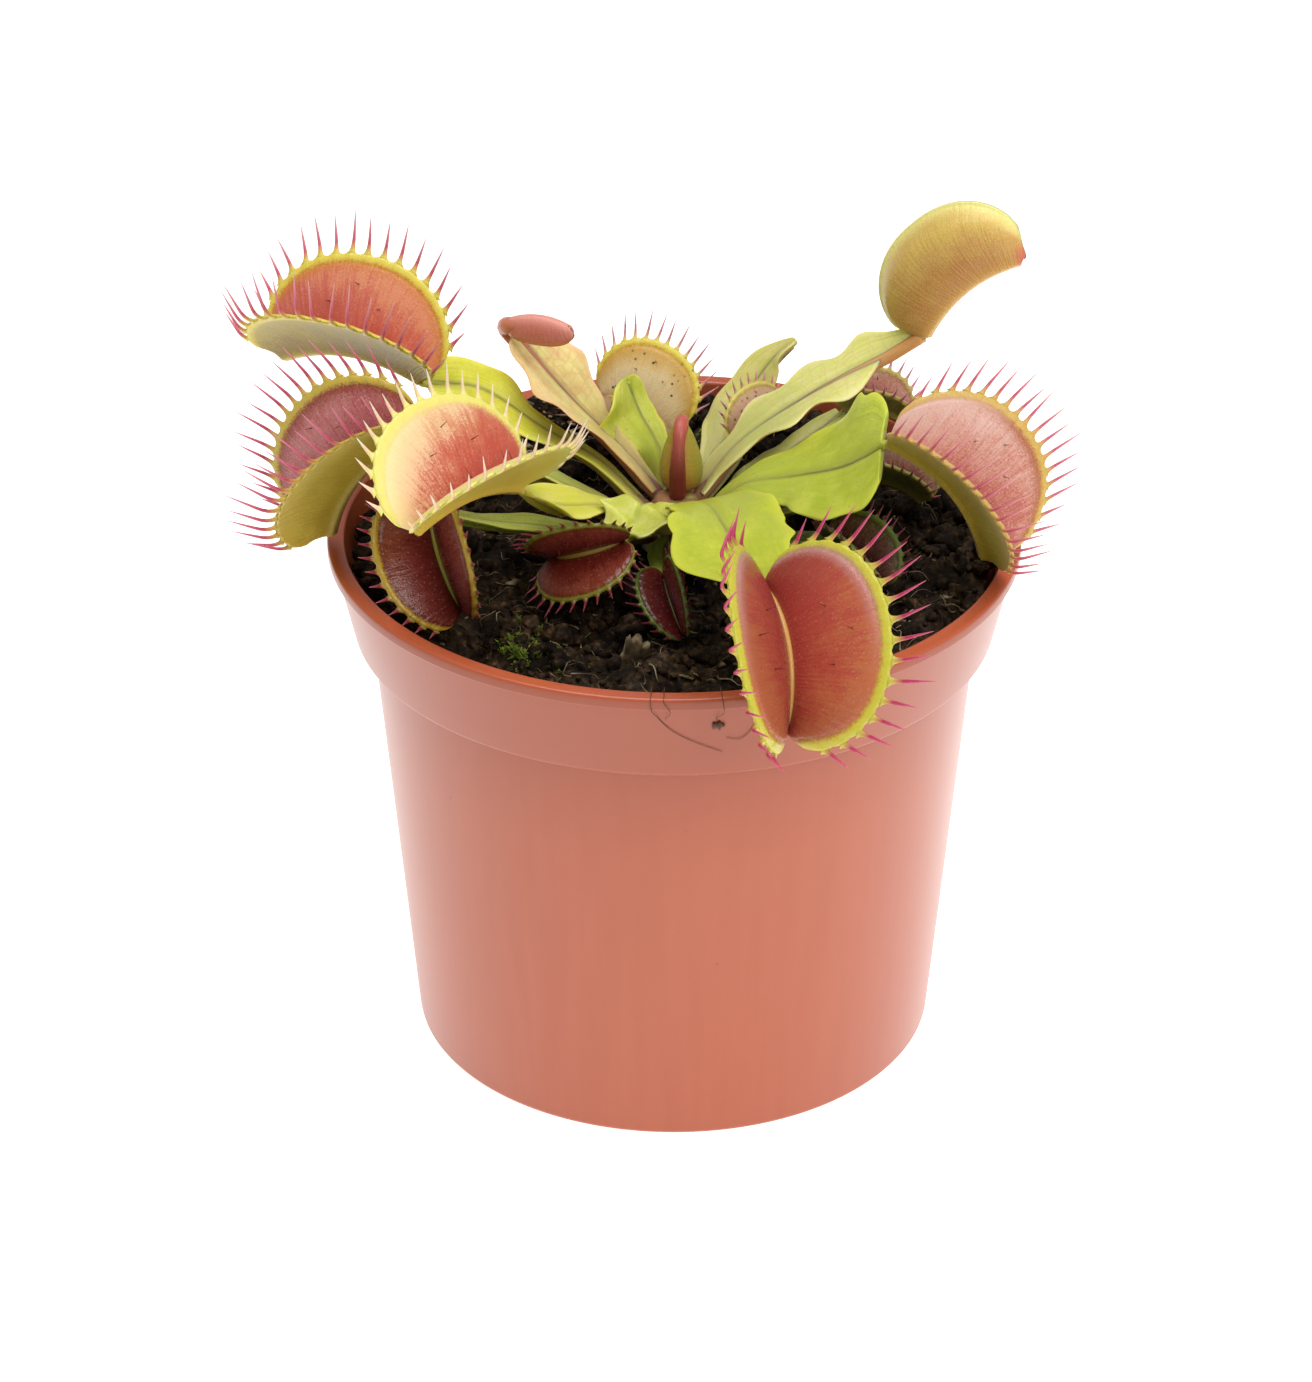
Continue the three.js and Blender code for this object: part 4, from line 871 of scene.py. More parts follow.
# Colours of each blade: wing, edge, midrib and foot at the crown, and the underside.
BLADE_COLOURS = {
    "left_upper": ("#d2d238", "#e0dc58", "#acac50", "#8c6450", "#b8b848"),
    "left_middle": ("#bcc05c", "#d0cc70", "#949a4e", "#8f5f4c", "#a0a448"),
    "left_front": ("#d2d244", "#e0d470", "#c0c048", "#90604c", "#c8bc50"),
    "left_low": ("#b0b84c", "#c8cc64", "#8c9844", "#85584a", "#98a040"),
    "front_upper": ("#c2c648", "#dcdc80", "#aeb43c", "#a0844c", "#a4a83a"),
    "front_lower": ("#7f8c30", "#98a048", "#6a7a2c", "#80503c", "#66742c"),
    "front_right": ("#b0ba26", "#c4ca38", "#a4ae30", "#a08448", "#949c28"),
    "right_middle": ("#b8c62e", "#cdd44c", "#a6b040", "#988a4c", "#a4ac34"),
    "right_upper": ("#d6d878", "#e4dc94", "#b0b468", "#8c644c", "#d49c60"),
    "back_left": ("#f2e8a4", "#e4b888", "#b8ac5c", "#845c54", "#c87c60"),
    "back_middle": ("#a8a84c", "#b8b464", "#8a8a44", "#80644a", "#90903c"),
    "back_right": ("#a4a458", "#b8b070", "#84804a", "#7c5048", "#8a8640"),
    "right_low": ("#84943c", "#98a448", "#70803a", "#74503e", "#687830"),
    "right_back": ("#98a444", "#acb054", "#7c883c", "#7c5444", "#7c883a"),
    "right_far": ("#acb050", "#c0bc64", "#8c8c4c", "#7e5448", "#90943e"),
    "young_left": ("#b8c036", "#d0d05c", "#a0a840", "#8c704c", "#a4ac38"),
    "young_right": ("#ccca64", "#dcd084", "#b4b25c", "#7e5850", "#bcb068"),
}
# The share of grains of peat that cling to a leaf.
DIRT = {"back_right": 0.9, "back_middle": 0.9, "right_middle": 0.25, "young_left": 0.3, "left_low": 0.5,
        "right_low": 0.5, "right_back": 0.4}


def leaf_tissue(name, wing, edge, rib, foot, under, dirt=0.0):
    """Living leaf blade, IOR 1.42 and roughness 0.3 to 0.46: a waxy skin over juicy tissue that lets light
    through, with long veins 0.9 mm apart and a net of finer ones between them. The skin's cells are 0.05 mm
    wide, and are drawn four times as coarse so that they show."""
    vein_mm, mottle_mm, skin_mm, net_mm, grit_mm = 0.9, 2.6, 0.22, 1.5, 0.9
    material, tree = start_material(name)
    place = add(tree, "ShaderNodeNewGeometry").outputs["Position"]
    across, along, upper = [
        add(tree, "ShaderNodeAttribute", attribute_name=label).outputs["Fac"]
        for label in ("across", "along", "upper")]
    mottle = add(tree, "ShaderNodeTexNoise", {
        "Vector": place, "Scale": 1 / (mottle_mm * MM), "Detail": 4}).outputs["Fac"]
    # Veins run along the wing and spread with it, so they follow the shares across and along it.
    vein_place = add(tree, "ShaderNodeCombineXYZ", {0: across, 1: along, 2: upper}).outputs[0]
    spread = add(tree, "ShaderNodeVectorMath", {
        0: vein_place, 1: (9 / vein_mm, 1.6, 3)}, operation="MULTIPLY")
    veins = add(tree, "ShaderNodeTexNoise", {
        "Vector": spread.outputs[0], "Scale": 1.0, "Detail": 3}).outputs["Fac"]
    net = add(tree, "ShaderNodeTexVoronoi", {
        "Vector": place, "Scale": 1 / (net_mm * MM)}, feature="DISTANCE_TO_EDGE").outputs["Distance"]
    grit = add(tree, "ShaderNodeTexVoronoi", {
        "Vector": place, "Scale": 1 / (grit_mm * MM)}).outputs["Distance"]
    width = add(tree, "ShaderNodeMath", {0: across}, operation="ABSOLUTE").outputs[0]
    # Each share is read from a value, and goes from one number to another between two limits of that.
    share = {}
    for label, value, low, high, first, last in (
            ("midrib", width, 0.03, 0.16, 0.75, 0.0), ("edge", width, 0.78, 0.98, 0.0, 1.0),
            ("inward", width, 0.0, 0.9, 1.0, 0.25), ("foot", along, 0.0, 0.3, 1.0, 0.0),
            ("crown", along, 0.3, 0.62, 0.6, 0.0), ("mottle", mottle, 0.35, 0.7, 0.0, 1.0),
            ("wax", mottle, 0.0, 1.0, 0.3, 0.46), ("veins", veins, 0.35, 0.65, 0.0, 0.35),
            ("net", net, 0.01, 0.1, 0.22, 0.0), ("grit", grit, 0.14, 0.22, dirt, 0.0)):
        share[label] = add(tree, "ShaderNodeMapRange", {
            "Value": value, "From Min": low, "From Max": high, "To Min": first, "To Max": last}).outputs[0]
    # Colours laid over the wing's own: mottling, the duller half next to the crown, the net of fine veins,
    # the long veins, the edge and the midrib.
    colour = linear(wing)
    for label, over in (("mottle", edge), ("crown", rib), ("net", under), ("veins", rib), ("edge", edge),
                        ("midrib", rib)):
        colour = add(tree, "ShaderNodeMix", {
            "Factor": share[label], 6: colour, 7: linear(over)}, data_type="RGBA").outputs[2]
    below = add(tree, "ShaderNodeMix", {"Factor": share["crown"], 6: linear(under), 7: linear(foot)},
                data_type="RGBA")
    colour = add(tree, "ShaderNodeMix", {"Factor": upper, 6: below.outputs[2], 7: colour}, data_type="RGBA")
    colour = colour.outputs[2]
    # The foot's flush is strongest along the midrib, and grains of peat cling where the wing is mottled.
    flush = add(tree, "ShaderNodeMath", {0: share["foot"], 1: share["inward"]}, operation="MULTIPLY")
    flush = add(tree, "ShaderNodeMath", {0: flush.outputs[0], 1: 0.75}, operation="MULTIPLY")
    strewn = add(tree, "ShaderNodeMath", {0: share["grit"], 1: share["mottle"]}, operation="MULTIPLY")
    for factor, over in ((flush, foot), (strewn, "#2c2218")):
        colour = add(tree, "ShaderNodeMix", {
            "Factor": factor.outputs[0], 6: colour, 7: linear(over)}, data_type="RGBA").outputs[2]
    skin = add(tree, "ShaderNodeTexNoise", {"Vector": place, "Scale": 1 / (skin_mm * MM), "Detail": 2})
    fine = add(tree, "ShaderNodeBump", {
        "Height": skin.outputs["Fac"], "Strength": 0.25, "Distance": 0.04 * MM})
    relief = add(tree, "ShaderNodeBump", {
        "Height": veins, "Strength": 0.5, "Distance": 0.25 * MM, "Normal": fine.outputs[0]})
    shader = add(tree, "ShaderNodeBsdfPrincipled", {
        "Base Color": colour, "Roughness": share["wax"], "IOR": 1.42, "Normal": relief.outputs[0],
        "Subsurface Weight": 0.65, "Subsurface Radius": (0.9, 1.0, 0.3), "Subsurface Scale": 1.2 * MM})
    add(tree, "ShaderNodeOutputMaterial", {"Surface": shader.outputs[0]})
    return material


def turn_about(vectors, axes, angles):
    """Turns vectors that stand square to their axes, by angles in radians."""
    angles = np.asarray(angles)[..., None]
    return vectors * np.cos(angles) + np.cross(axes, vectors) * np.sin(angles)


def blade_half_width(leaf, s):
    """Half the plain width at shares of the way: it grows to the widest place, then rounds in to the neck."""
    grown = BASE_HALF_WIDTH + (leaf["half_width"] - BASE_HALF_WIDTH) * smoothstep(s, 0, leaf["widest"])
    past = np.clip((s - leaf["widest"]) / (1 - leaf["widest"]), 0, 1)
    kept = np.sqrt(np.maximum(0, 1 - past ** BLADE_ROUNDING))
    narrowed = NECK_HALF_WIDTH + (leaf["half_width"] - NECK_HALF_WIDTH) * kept
    return np.where(s < leaf["widest"], grown, narrowed)


def midrib_of(leaf, shares, beyond=()):
    """The midrib's places at shares of the way from the crown to the trap or beyond it, and its length."""
    radius, height = WHORLS[leaf["whorl"]]
    turn = math.radians(leaf["heading"])
    foot = [CROWN[0] + radius * math.cos(turn), CROWN[1] + radius * math.sin(turn), height]
    ending = [leaf["trap"]["start"]] if "trap" in leaf else []
    return smooth_path([foot] + leaf["path"] + ending + list(beyond), shares)


def blade(leaf, rng):
    """A blade's two wings as one closed sheet, and the midrib under them."""
    name, pile = leaf["name"], Pile()
    length = midrib_of(leaf, 2)[1]
    end = 1 - (CLEARANCE + HINGE_DEPTH) / length if "trap" in leaf else 1
    # The stations crowd at both ends, where the blade turns in to its foot and to its neck.
    s = end * (0.5 - 0.5 * np.cos(np.linspace(0, np.pi, STATIONS)))
    centres, _ = midrib_of(leaf, s)
    fine_s = np.linspace(0, 1, FINE_STATIONS)
    tangents = unit(np.gradient(midrib_of(leaf, fine_s)[0], axis=0))
    along = unit(np.stack([np.interp(s, fine_s, tangents[:, k]) for k in range(3)], 1))
    facing = unit(UP - along * along[:, 2:3])
    roll = np.radians(leaf["roll"][0] + (leaf["roll"][1] - leaf["roll"][0]) * s)
    facing = turn_about(facing, along, roll)
    side = np.cross(along, facing)
    half = blade_half_width(leaf, s)
    grid_x = np.broadcast_to(np.sin(np.linspace(-np.pi / 2, np.pi / 2, ACROSS)), (STATIONS, ACROSS))
    # The edge is a little uneven, scalloped, and ruffled more finely than the wing is waved.
    phase = rng.uniform(0, 6, 4)
    uneven = 1 + UNEVEN[0] * np.sin(UNEVEN[1] * s + phase[0])
    uneven = uneven + FINE_UNEVEN[0] * np.sin(FINE_UNEVEN[1] * s + phase[1])
    ruffle = RUFFLE[0] * np.sin(RUFFLE[1] * s + phase[2]) * np.sin(np.pi * s)
    scallops = SCALLOPS.get(name, SCALLOP) * np.sin(np.pi * s) ** 0.5
    lobed = np.sin(SCALLOP_RATE * s[:, None] + phase[3] + 2 * np.sign(grid_x))
    lobed = scallops[:, None] * lobed * np.abs(grid_x) ** 3
    if name == "back_left":
        uneven *= 1 - 0.9 * smoothstep(s, *FOLD_STOPS)
    wider = np.where(grid_x < 0, *SPREAD.get(name, (1, 1))) - 1
    grown = 1 + wider * np.sin(np.pi * np.clip(s / end, 0, 1))[:, None] ** 0.7
    if name in WING_FORMS:
        right_wing, left_wing = [np.interp(s, *form)[:, None] for form in WING_FORMS[name]]
        grown = grown * np.where(grid_x > 0, right_wing, left_wing)
    if name in WING_CHANGES:
        hand, first, change, low, high = WING_CHANGES[name]
        changed = (first + change * smoothstep(s, low, high))[:, None]
        grown = grown * np.where(hand * grid_x > 0, changed, 1)
    half = (half * uneven)[:, None] * (1 + lobed) * grown
    wave = EDGE_WAVE * half * grid_x ** 2 * np.sin(
        EDGE_WAVE_RATE * s[:, None] + EDGE_WAVE_OFFSET * np.sign(grid_x))
    if name == "front_upper":
        wave = wave + CRUMPLE_RISE * np.sin(np.pi * s[:, None]) - CRUMPLE_DROOP * half * np.abs(grid_x)
        wave = wave + CRUMPLE_DEPTH * half * np.sin(CRUMPLE_RATE * s[:, None] + CRUMPLE_SLANT * grid_x)
    if name == "right_middle":
        # Its left wing rises like a collar behind the fold and turns down again before the trap.
        lifted = 0.12 * smoothstep(s, 0.35, 0.7) - 0.24 * smoothstep(s, 0.72, 1)
        wave = 0.15 * wave + np.where(grid_x < 0, 1, 0) * half * np.abs(grid_x) ** 1.5 * lifted[:, None]
    wave = wave + ruffle[:, None] * half * np.abs(grid_x) ** 4 * np.sign(grid_x + 0.5)
    rise = leaf["fold"] * half * np.abs(grid_x) * np.minimum(1, 4 * s)[:, None] + wave
    sheet = centres[:, None] + side[:, None] * (grid_x * half)[..., None] + facing[:, None] * rise[..., None]
    thick = BLADE_THICKNESS / 2 * np.sqrt(np.maximum(0, 1 - grid_x ** 6))
    crease = CREASE_DEPTH * np.exp(-(grid_x * half / CREASE_WIDTH) ** 2)
    top = sheet + facing[:, None] * (thick - crease)[..., None]
    bottom = sheet - facing[:, None] * thick[..., None]
    shares = np.broadcast_to(s[:, None], grid_x.shape).ravel()
    count = STATIONS * ACROSS
    upper_faces = [f[::-1] for f in grid_faces(STATIONS, ACROSS)]
    lower_faces = [[i + count for i in f] for f in grid_faces(STATIONS, ACROSS)]
    rims = []
    for i in range(STATIONS - 1):
        a, b = i * ACROSS, (i + 1) * ACROSS
        rims.append([a, a + count, b + count, b])
        a, b = a + ACROSS - 1, b + ACROSS - 1
        rims.append([b, b + count, a + count, a])
    for j in range(ACROSS - 1):
        rims.append([j + 1, j + 1 + count, j + count, j])
        a = (STATIONS - 1) * ACROSS + j
        rims.append([a, a + count, a + 1 + count, a + 1])
    pile.add(
        np.concatenate([top.reshape(-1, 3), bottom.reshape(-1, 3)]), upper_faces + lower_faces + rims,
        across=np.tile(grid_x.ravel(), 2), along=np.tile(shares, 2), upper=np.repeat([1.0, 0.0], count))
    # The midrib: a round rib under the wing, which starts inside the crown and runs on to the trap's hinge.
    steps = np.linspace(0, 1 if "trap" in leaf else YOUNG_MIDRIB_END, MIDRIB_POINTS)
    beyond = []
    if name == "back_left":
        # It curls over into the back of the bud and dies out in it.
        start, over = np.array(leaf["trap"]["start"]), np.array(leaf["trap"]["end"])
        beyond = [start + 0.2 * (over - start) + 0.1 * UP, start + 0.46 * (over - start) - 0.5 * UP]
    rib, _ = midrib_of(leaf, steps, beyond)
    inside = rib[0] + (rib[0] - rib[1]) / np.linalg.norm(rib[0] - rib[1]) * MIDRIB_IN_CROWN
    rib = np.concatenate([[inside], rib])
    steps = np.concatenate([[0], steps])
    rib_along = unit(np.gradient(rib, axis=0))
    rib_facing = unit(UP - rib_along * rib_along[:, 2:3])
    radius = np.interp(steps, *MIDRIBS.get(name, MIDRIB))
    sink = np.interp(steps, *MIDRIB_SINK)
    pile.add(*rod(rib - rib_facing * sink[:, None], radius, radius, side=[0.3, 0.8, 0.1], sides=MIDRIB_SIDES),
             across=0.0, along=np.repeat(steps, MIDRIB_SIDES), upper=0.0)
    return pile


for leaf in LEAVES:
    if "path" not in leaf:
        continue
    name = leaf["name"]
    rng = np.random.default_rng(sum(map(ord, name)))
    tissue = leaf_tissue(f"leaf_tissue_{name}", *BLADE_COLOURS[name], DIRT.get(name, 0.0))
    blade(leaf, rng).make(f"{name}_blade", tissue, "leaf_green", f"leaf_{name}_blade")

# Traps
# The end of each leaf is a trap of two thick curved lobes on the midrib. Its lining is red and velvety with
# glands inside a smooth green-yellow band, and stiff bristles with broad feet grow out of the margin in one
# piece with it. Three fine trigger hairs stand in each lobe.
LOBE_HALF_THICKNESS, LOBE_ROUNDING, MARGIN_ROUNDING = 0.31, 2.4, 0.45
# The width of the margin's smooth band, and the depth from which a trap has finer columns.
BAND, LARGE_DEPTH, COLUMNS, FINE_COLUMNS = 1.3, 12, 97, 181
# The groove inside the band and the pads under the bristles: height, place as shares of the band or in
# millimetres from the margin, and width.
GROOVE_DEPTH, GROOVE_PLACE, GROOVE_WIDTH = 0.13, 1.15, 0.28
PAD_HEIGHT, PAD_PLACE, PAD_WIDTH, SCALLOP_SHARE = 0.1, 0.7, 0.7, 0.28
# How the two lobes of a shut trap close in on each other, and where along their depth.
SHUT_CLOSING, SHUT_FROM, SHUT_FULL, SHUT_OVERLAP = 0.92, 0.7, 0.97, 0.05
# The midrib between open lobes as a share of their depth, and the keel under a trap, by height and width.
PLAIN_RIDGE, RIDGE_LIFT, PLAIN_KEEL = 0.042, 0.72, (0.44, 0.7)
# The bud's red rib, by shares of its way and its radius there.
BUD_RIB, BUD_RIB_POINTS, RIB_SIDES = ([0, 0.25, 0.6, 0.78, 1], [1.15, 1.1, 0.8, 1.0, 0.9]), 40, 14
BRISTLE_FALL_TO_ENDS, BRISTLE_VARIATION = 0.45, 0.08
BRISTLE_RINGS, BRISTLE_SIDES, BRISTLE_RADIUS, BRISTLE_FOOT, BRISTLE_SUNK = 10, 8, 0.26, 0.3, 0.25
PLAIN_BEND, PLAIN_GROWTH = (34, 34), (1.05, 1.05)
# Trigger hairs by their places along the hinge and up the lobe, their radius, and the smallest trap with any.
TRIGGER_PLACES, TRIGGER_RADIUS, TRIGGER_DEPTH = [(-0.24, 0.5), (0.24, 0.5), (0.0, 0.68)], 0.07, 5.5

# Colours of each trap: the lining at the hinge, half way and by the band, the groove, whose band is partly
# painted shade, the margin, the midrib, the back by the hinge and by the margin, and a bristle's foot, middle
# and tip.
TRAP_COLOURS = {
    "left_upper": (("#c2604c", "#cc6c58", "#dc9066"), "#c87a38", "#dccb50", "#c8b050",
                   ("#8c7428", "#b09c3c"), ("#dccb50", "#c85c72", "#e0a4ac")),
    "left_middle": (("#a84648", "#b45656", "#b86460"), "#8a3824", "#c4ac42", "#a89438",
                    ("#a88e28", "#c0ac3c"), ("#c8b048", "#b03a58", "#d07c90")),
    "left_front": (("#c05440", "#cc7050", "#ecc094"), "#f0dc9c", "#e6dc74", "#d8b048",
                   ("#dcc04c", "#e4d45c"), ("#f0e478", "#eccca0", "#f0dcc8")),
    "left_low": (("#601e18", "#6c261e", "#7c3828"), "#6a2418", "#b0902e", "#a09a3c",
                 ("#7c7c34", "#948438"), ("#b0983c", "#842c34", "#a45460")),
    "front_upper": (("#681c14", "#78281c", "#883828"), "#743418", "#84802c", "#a08438",
                    ("#84803a", "#848c38"), ("#8c8834", "#7c2430", "#984450")),
    # The front lower trap is dark red and green of its own, darkened further as painted shade where it sits
    # low.
    "front_lower": (("#441010", "#541614", "#60201a"), "#4a2214", "#5c6c24", "#5c5c28",
                    ("#3f5a1c", "#4f6a24"), ("#5c6428", "#5c1c28", "#7c3440")),
    "front_right": (("#ac4438", "#b04c38", "#b86438"), "#c08c84", "#c4bc3c", "#c89850",
                    ("#9c9034", "#b4ac40"), ("#c8c048", "#b42c5c", "#cc5c80")),
    "right_middle": (("#b45c4c", "#c47c64", "#d09c84"), "#a8603c", "#cca850", "#b8a048",
                     ("#ac9624", "#bcae38"), ("#cca850", "#c4586c", "#e0a0a4")),
    "right_upper": (("#b47848", "#c08850", "#caa058"), "#b9864d", "#ecde88", "#e0b060",
                    ("#c48c50", "#d2b45c"), ("#d8c070", "#c88890", "#e0b0b0")),
    "back_left": (("#b46850", "#c0775a", "#c8806a"), "#a8583c", "#b86048", "#dc9484",
                  ("#bc6858", "#cc7c6c"), ("#d0b060", "#c07880", "#d8a0a0")),
    "back_middle": (("#d4bc8c", "#dcc894", "#d4b46c"), "#c4983c", "#dcc850", "#c8a850",
                    ("#c0a450", "#ccb460"), ("#dcc860", "#cc8490", "#e0a8b0")),
    "back_right": (("#cc9c88", "#d0a48c", "#ccac80"), "#b09058", "#d4c460", "#b8a050",
                   ("#a49c54", "#b4a85c"), ("#d0b870", "#c07c84", "#d8a0a4")),
    "right_low": (("#4c2018", "#5c2a1c", "#5c4a24"), "#4c3a18", "#64742c", "#5c5c28",
                  ("#3c4a1c", "#4c5c24"), ("#707c34", "#743438", "#98585c")),
    "right_back": (("#6c3428", "#7c4430", "#84603c"), "#6c4c28", "#8c8a3c", "#7c7438",
                   ("#6c6c30", "#7c7c38"), ("#948c48", "#a05460", "#c08088")),
    "right_far": (("#8c4c3c", "#9c5c48", "#a47054"), "#8c5c38", "#b0a04c", "#a08c44",
                  ("#8c8440", "#9c9448"), ("#b8a460", "#c0708c", "#d8a0b0")),
    "centre_bud": (("#a87838", "#a87c40", "#a87c40"), "#a87040", "#b89040", "#b8584c",
                   ("#b48c3c", "#8c9030"), ("#b0a050", "#b06070", "#c88890")),
}
# The bloom that greys the lining, partly the grey of its wax and partly painted sheen. It also sets how
# strong the painted glints and the sheen of the skin are.
PLAIN_BLOOM_AND_SHEEN = 0.1
BLOOM_AND_SHEEN = {"left_middle": 0.3, "right_middle": 0.42, "left_upper": 0.05, "front_right": 0.03,
         "left_front": 0.12, "left_low": 0.02, "front_upper": 0.02, "front_lower": 0.0, "centre_bud": 0.02}
# The width of the haze of the groove colour inside the band, which is partly painted shade in the groove, and
# the places along the hinge where it begins and where it is full.
PLAIN_HAZE = (1.0, -20, -19)
HAZE = {"front_right": (1.1, 5, -6), "left_front": (2.6, -7, 8), "right_middle": (1.3, -9, 0),
        "back_middle": (2.6, -20, -19), "left_middle": (1.5, -20, -19), "left_upper": (1.0, -20, -19)}
# How much the lining changes along the hinge, for each millimetre.
DRIFT = {"front_right": 0.035, "left_front": 0.05, "left_upper": -0.025, "right_middle": -0.03}
# The least and the greatest roughness of the skin.
PLAIN_SHINE = (0.28, 0.46)
SHINE = {"left_low": (0.12, 0.24), "front_upper": (0.12, 0.26), "front_lower": (0.16, 0.3),
         "front_right": (0.2, 0.36)}
# The share of grains of peat that cling to a trap.
GRIT = {"back_middle": 0.9, "back_right": 0.8, "right_far": 0.6, "right_back": 0.6, "left_low": 0.4}
# How far the bristles bend from the lie of the lobe towards the mouth, of the right and the left lobe.
BRISTLE_BEND = {"left_upper": (34, 60), "left_middle": (34, 60), "left_front": (34, 52),
                "right_middle": (60, 34), "front_right": (66, 34)}
# The growth of the bristles on the right and the left lobe past the plain form.
BRISTLE_GROWTH = {"left_upper": (1.05, 1.35), "left_middle": (1.12, 1.3), "left_front": (0.9, 1.1),
                  "right_middle": (1.5, 1.12), "front_right": (1.3, 1.25), "back_middle": (1.15, 1.15)}
# Bands, keels and midribs that aren't of the plain size.
BANDS = {"left_front": 1.75, "right_upper": 1.9, "back_middle": 1.1, "back_right": 0.8, "front_lower": 0.6,
         "right_low": 0.8, "right_back": 0.8, "right_far": 0.8, "front_upper": 0.6, "left_low": 0.95,
         "front_right": 1.45}
KEELS = {"right_upper": (0.75, 1.25), "centre_bud": (0.2, 0.6), "back_left": (0.5, 1.0)}
RIDGES = {"front_right": 0.031, "front_upper": 0.055}


def trap_tissue(name, lining, groove, margin, midrib, back, bristle, bloom_and_sheen, haze, drift, shine, dirt):
    """Living trap, IOR 1.45 and roughness 0.28 to 0.46, less where a trap is glossy: a thick juicy lobe,
    finely streaked from the hinge to the margin and grained by its glands. The glands are 0.1 mm wide, and
    are drawn more than twice as coarse so that they show."""
    streak_mm, mottle_mm, gland_mm, painted_glint_mm, grit_mm = 0.42, 3.6, 0.24, 0.62, 1.0
    material, tree = start_material(name)
    place = add(tree, "ShaderNodeNewGeometry").outputs["Position"]
    edge, hinge, along, inner, stalk, dark, rib, blush = [
        add(tree, "ShaderNodeAttribute", attribute_name=label).outputs["Fac"]
        for label in ("edge", "hinge", "along", "inner", "bristle", "dark", "rib", "blush")]
    mottle = add(tree, "ShaderNodeTexNoise", {
        "Vector": place, "Scale": 1 / (mottle_mm * MM), "Detail": 5}).outputs["Fac"]
    fan = add(tree, "ShaderNodeCombineXYZ", {0: along, 1: hinge, 2: inner})
    spread = add(tree, "ShaderNodeVectorMath", {
        0: fan.outputs[0], 1: (1 / streak_mm, 2.2, 5)}, operation="MULTIPLY")
    streaks = add(tree, "ShaderNodeTexNoise", {
        "Vector": spread.outputs[0], "Scale": 1.0, "Detail": 3}).outputs["Fac"]
    glands = add(tree, "ShaderNodeTexNoise", {
        "Vector": place, "Scale": 1 / (gland_mm * MM), "Detail": 2}).outputs["Fac"]
    # Painted highlights: pale spots for the glints of wet glands.
    painted_glints, grit = [
        add(tree, "ShaderNodeTexVoronoi", {"Vector": place, "Scale": 1 / (size * MM)}).outputs["Distance"]
        for size in (painted_glint_mm, grit_mm)]
    # The way from hinge to band, shifted by mottling, glands and streaks.
    shifted, grained, streaked = [
        add(tree, "ShaderNodeMapRange", {
            "Value": value, "From Min": 0.3, "From Max": 0.7, "To Min": -shift, "To Max": shift}).outputs[0]
        for value, shift in ((mottle, 0.2), (glands, 0.22), (streaks, 0.2))]
    moved = hinge
    for shift in (shifted, grained):
        moved = add(tree, "ShaderNodeMath", {0: moved, 1: shift}, operation="ADD").outputs[0]
    fanned = add(tree, "ShaderNodeMath", {0: moved, 1: streaked}, operation="ADD").outputs[0]
    fanned = add(tree, "ShaderNodeMath", {
        0: along, 1: drift, 2: fanned}, operation="MULTIPLY_ADD").outputs[0]
    # The way in from the margin, made ragged by the glands.
    ragged = add(tree, "ShaderNodeMath", {0: grained, 1: 1.5, 2: edge}, operation="MULTIPLY_ADD").outputs[0]
    wander = add(tree, "ShaderNodeMath", {0: edge, 1: grained}, operation="ADD").outputs[0]
    # Each share is read from a value, and goes from one number to another between two limits of that.
    share = {}
    for label, value, low, high, first, last in (
            ("glint", painted_glints, 0.1, 0.24, 0.5 * bloom_and_sheen + 0.1, 0.0),
            ("bloom_and_sheen", fanned, 0.2, 1.1, 0.1 * bloom_and_sheen, 1.2 * bloom_and_sheen),
            ("haze", ragged, 1.2, 1.2 + haze[0], 1.0, 0.0),
            ("reach", along, haze[1], haze[2], 0.0, 1.0), ("back", wander, 0.5, 1.35, 0.0, 1.0),
            ("grit", grit, 0.15, 0.24, dirt, 0.0), ("where", mottle, 0.48, 0.6, 0.0, 1.0),
            ("wax", mottle, 0.0, 1.0, shine[0], shine[1])):
        share[label] = add(tree, "ShaderNodeMapRange", {
            "Value": value, "From Min": low, "From Max": high, "To Min": first, "To Max": last}).outputs[0]
    inside = add(tree, "ShaderNodeMapRange", {
        "Value": wander, "From Min": 0.6, "From Max": 1.3}, interpolation_type="SMOOTHSTEP").outputs[0]
    # The haze of the groove colour by the margin is partly painted shade.
    groove_band_and_shade, strewn = [
        add(tree, "ShaderNodeMath", {0: share[one], 1: share[other]}, operation="MULTIPLY").outputs[0]
        for one, other in (("haze", "reach"), ("grit", "where"))]
    is_spike = add(tree, "ShaderNodeMath", {0: stalk, 1: 0.01}, operation="GREATER_THAN").outputs[0]
    lined, outside, spike = [
        add(tree, "ShaderNodeValToRGB", {"Fac": value}, stops=list(zip(places, colours))).outputs[0]
        for value, places, colours in (
            (fanned, (0.1, 0.5, 0.92), lining), (moved, (0.15, 0.8), back),
            (stalk, (0.06, 0.32, 0.95), bristle))]
    # Over the lining lie painted highlights, pale glints of wet glands, then the bloom, partly the grey of
    # wax and partly painted sheen, and the haze of the groove colour by the groove, partly painted shade. The
    # smooth band bounds it, and the back too.
    for factor, over in ((share["glint"], "#f4dcd0"), (share["bloom_and_sheen"], "#d4b4ac"), (groove_band_and_shade, groove)):
        lined = add(tree, "ShaderNodeMix", {
            "Factor": factor, 6: lined, 7: linear(over)}, data_type="RGBA").outputs[2]
    front, behind = [
        add(tree, "ShaderNodeMix", {
            "Factor": factor, 6: linear(margin), 7: within}, data_type="RGBA").outputs[2]
        for factor, within in ((inside, lined), (share["back"], outside))]
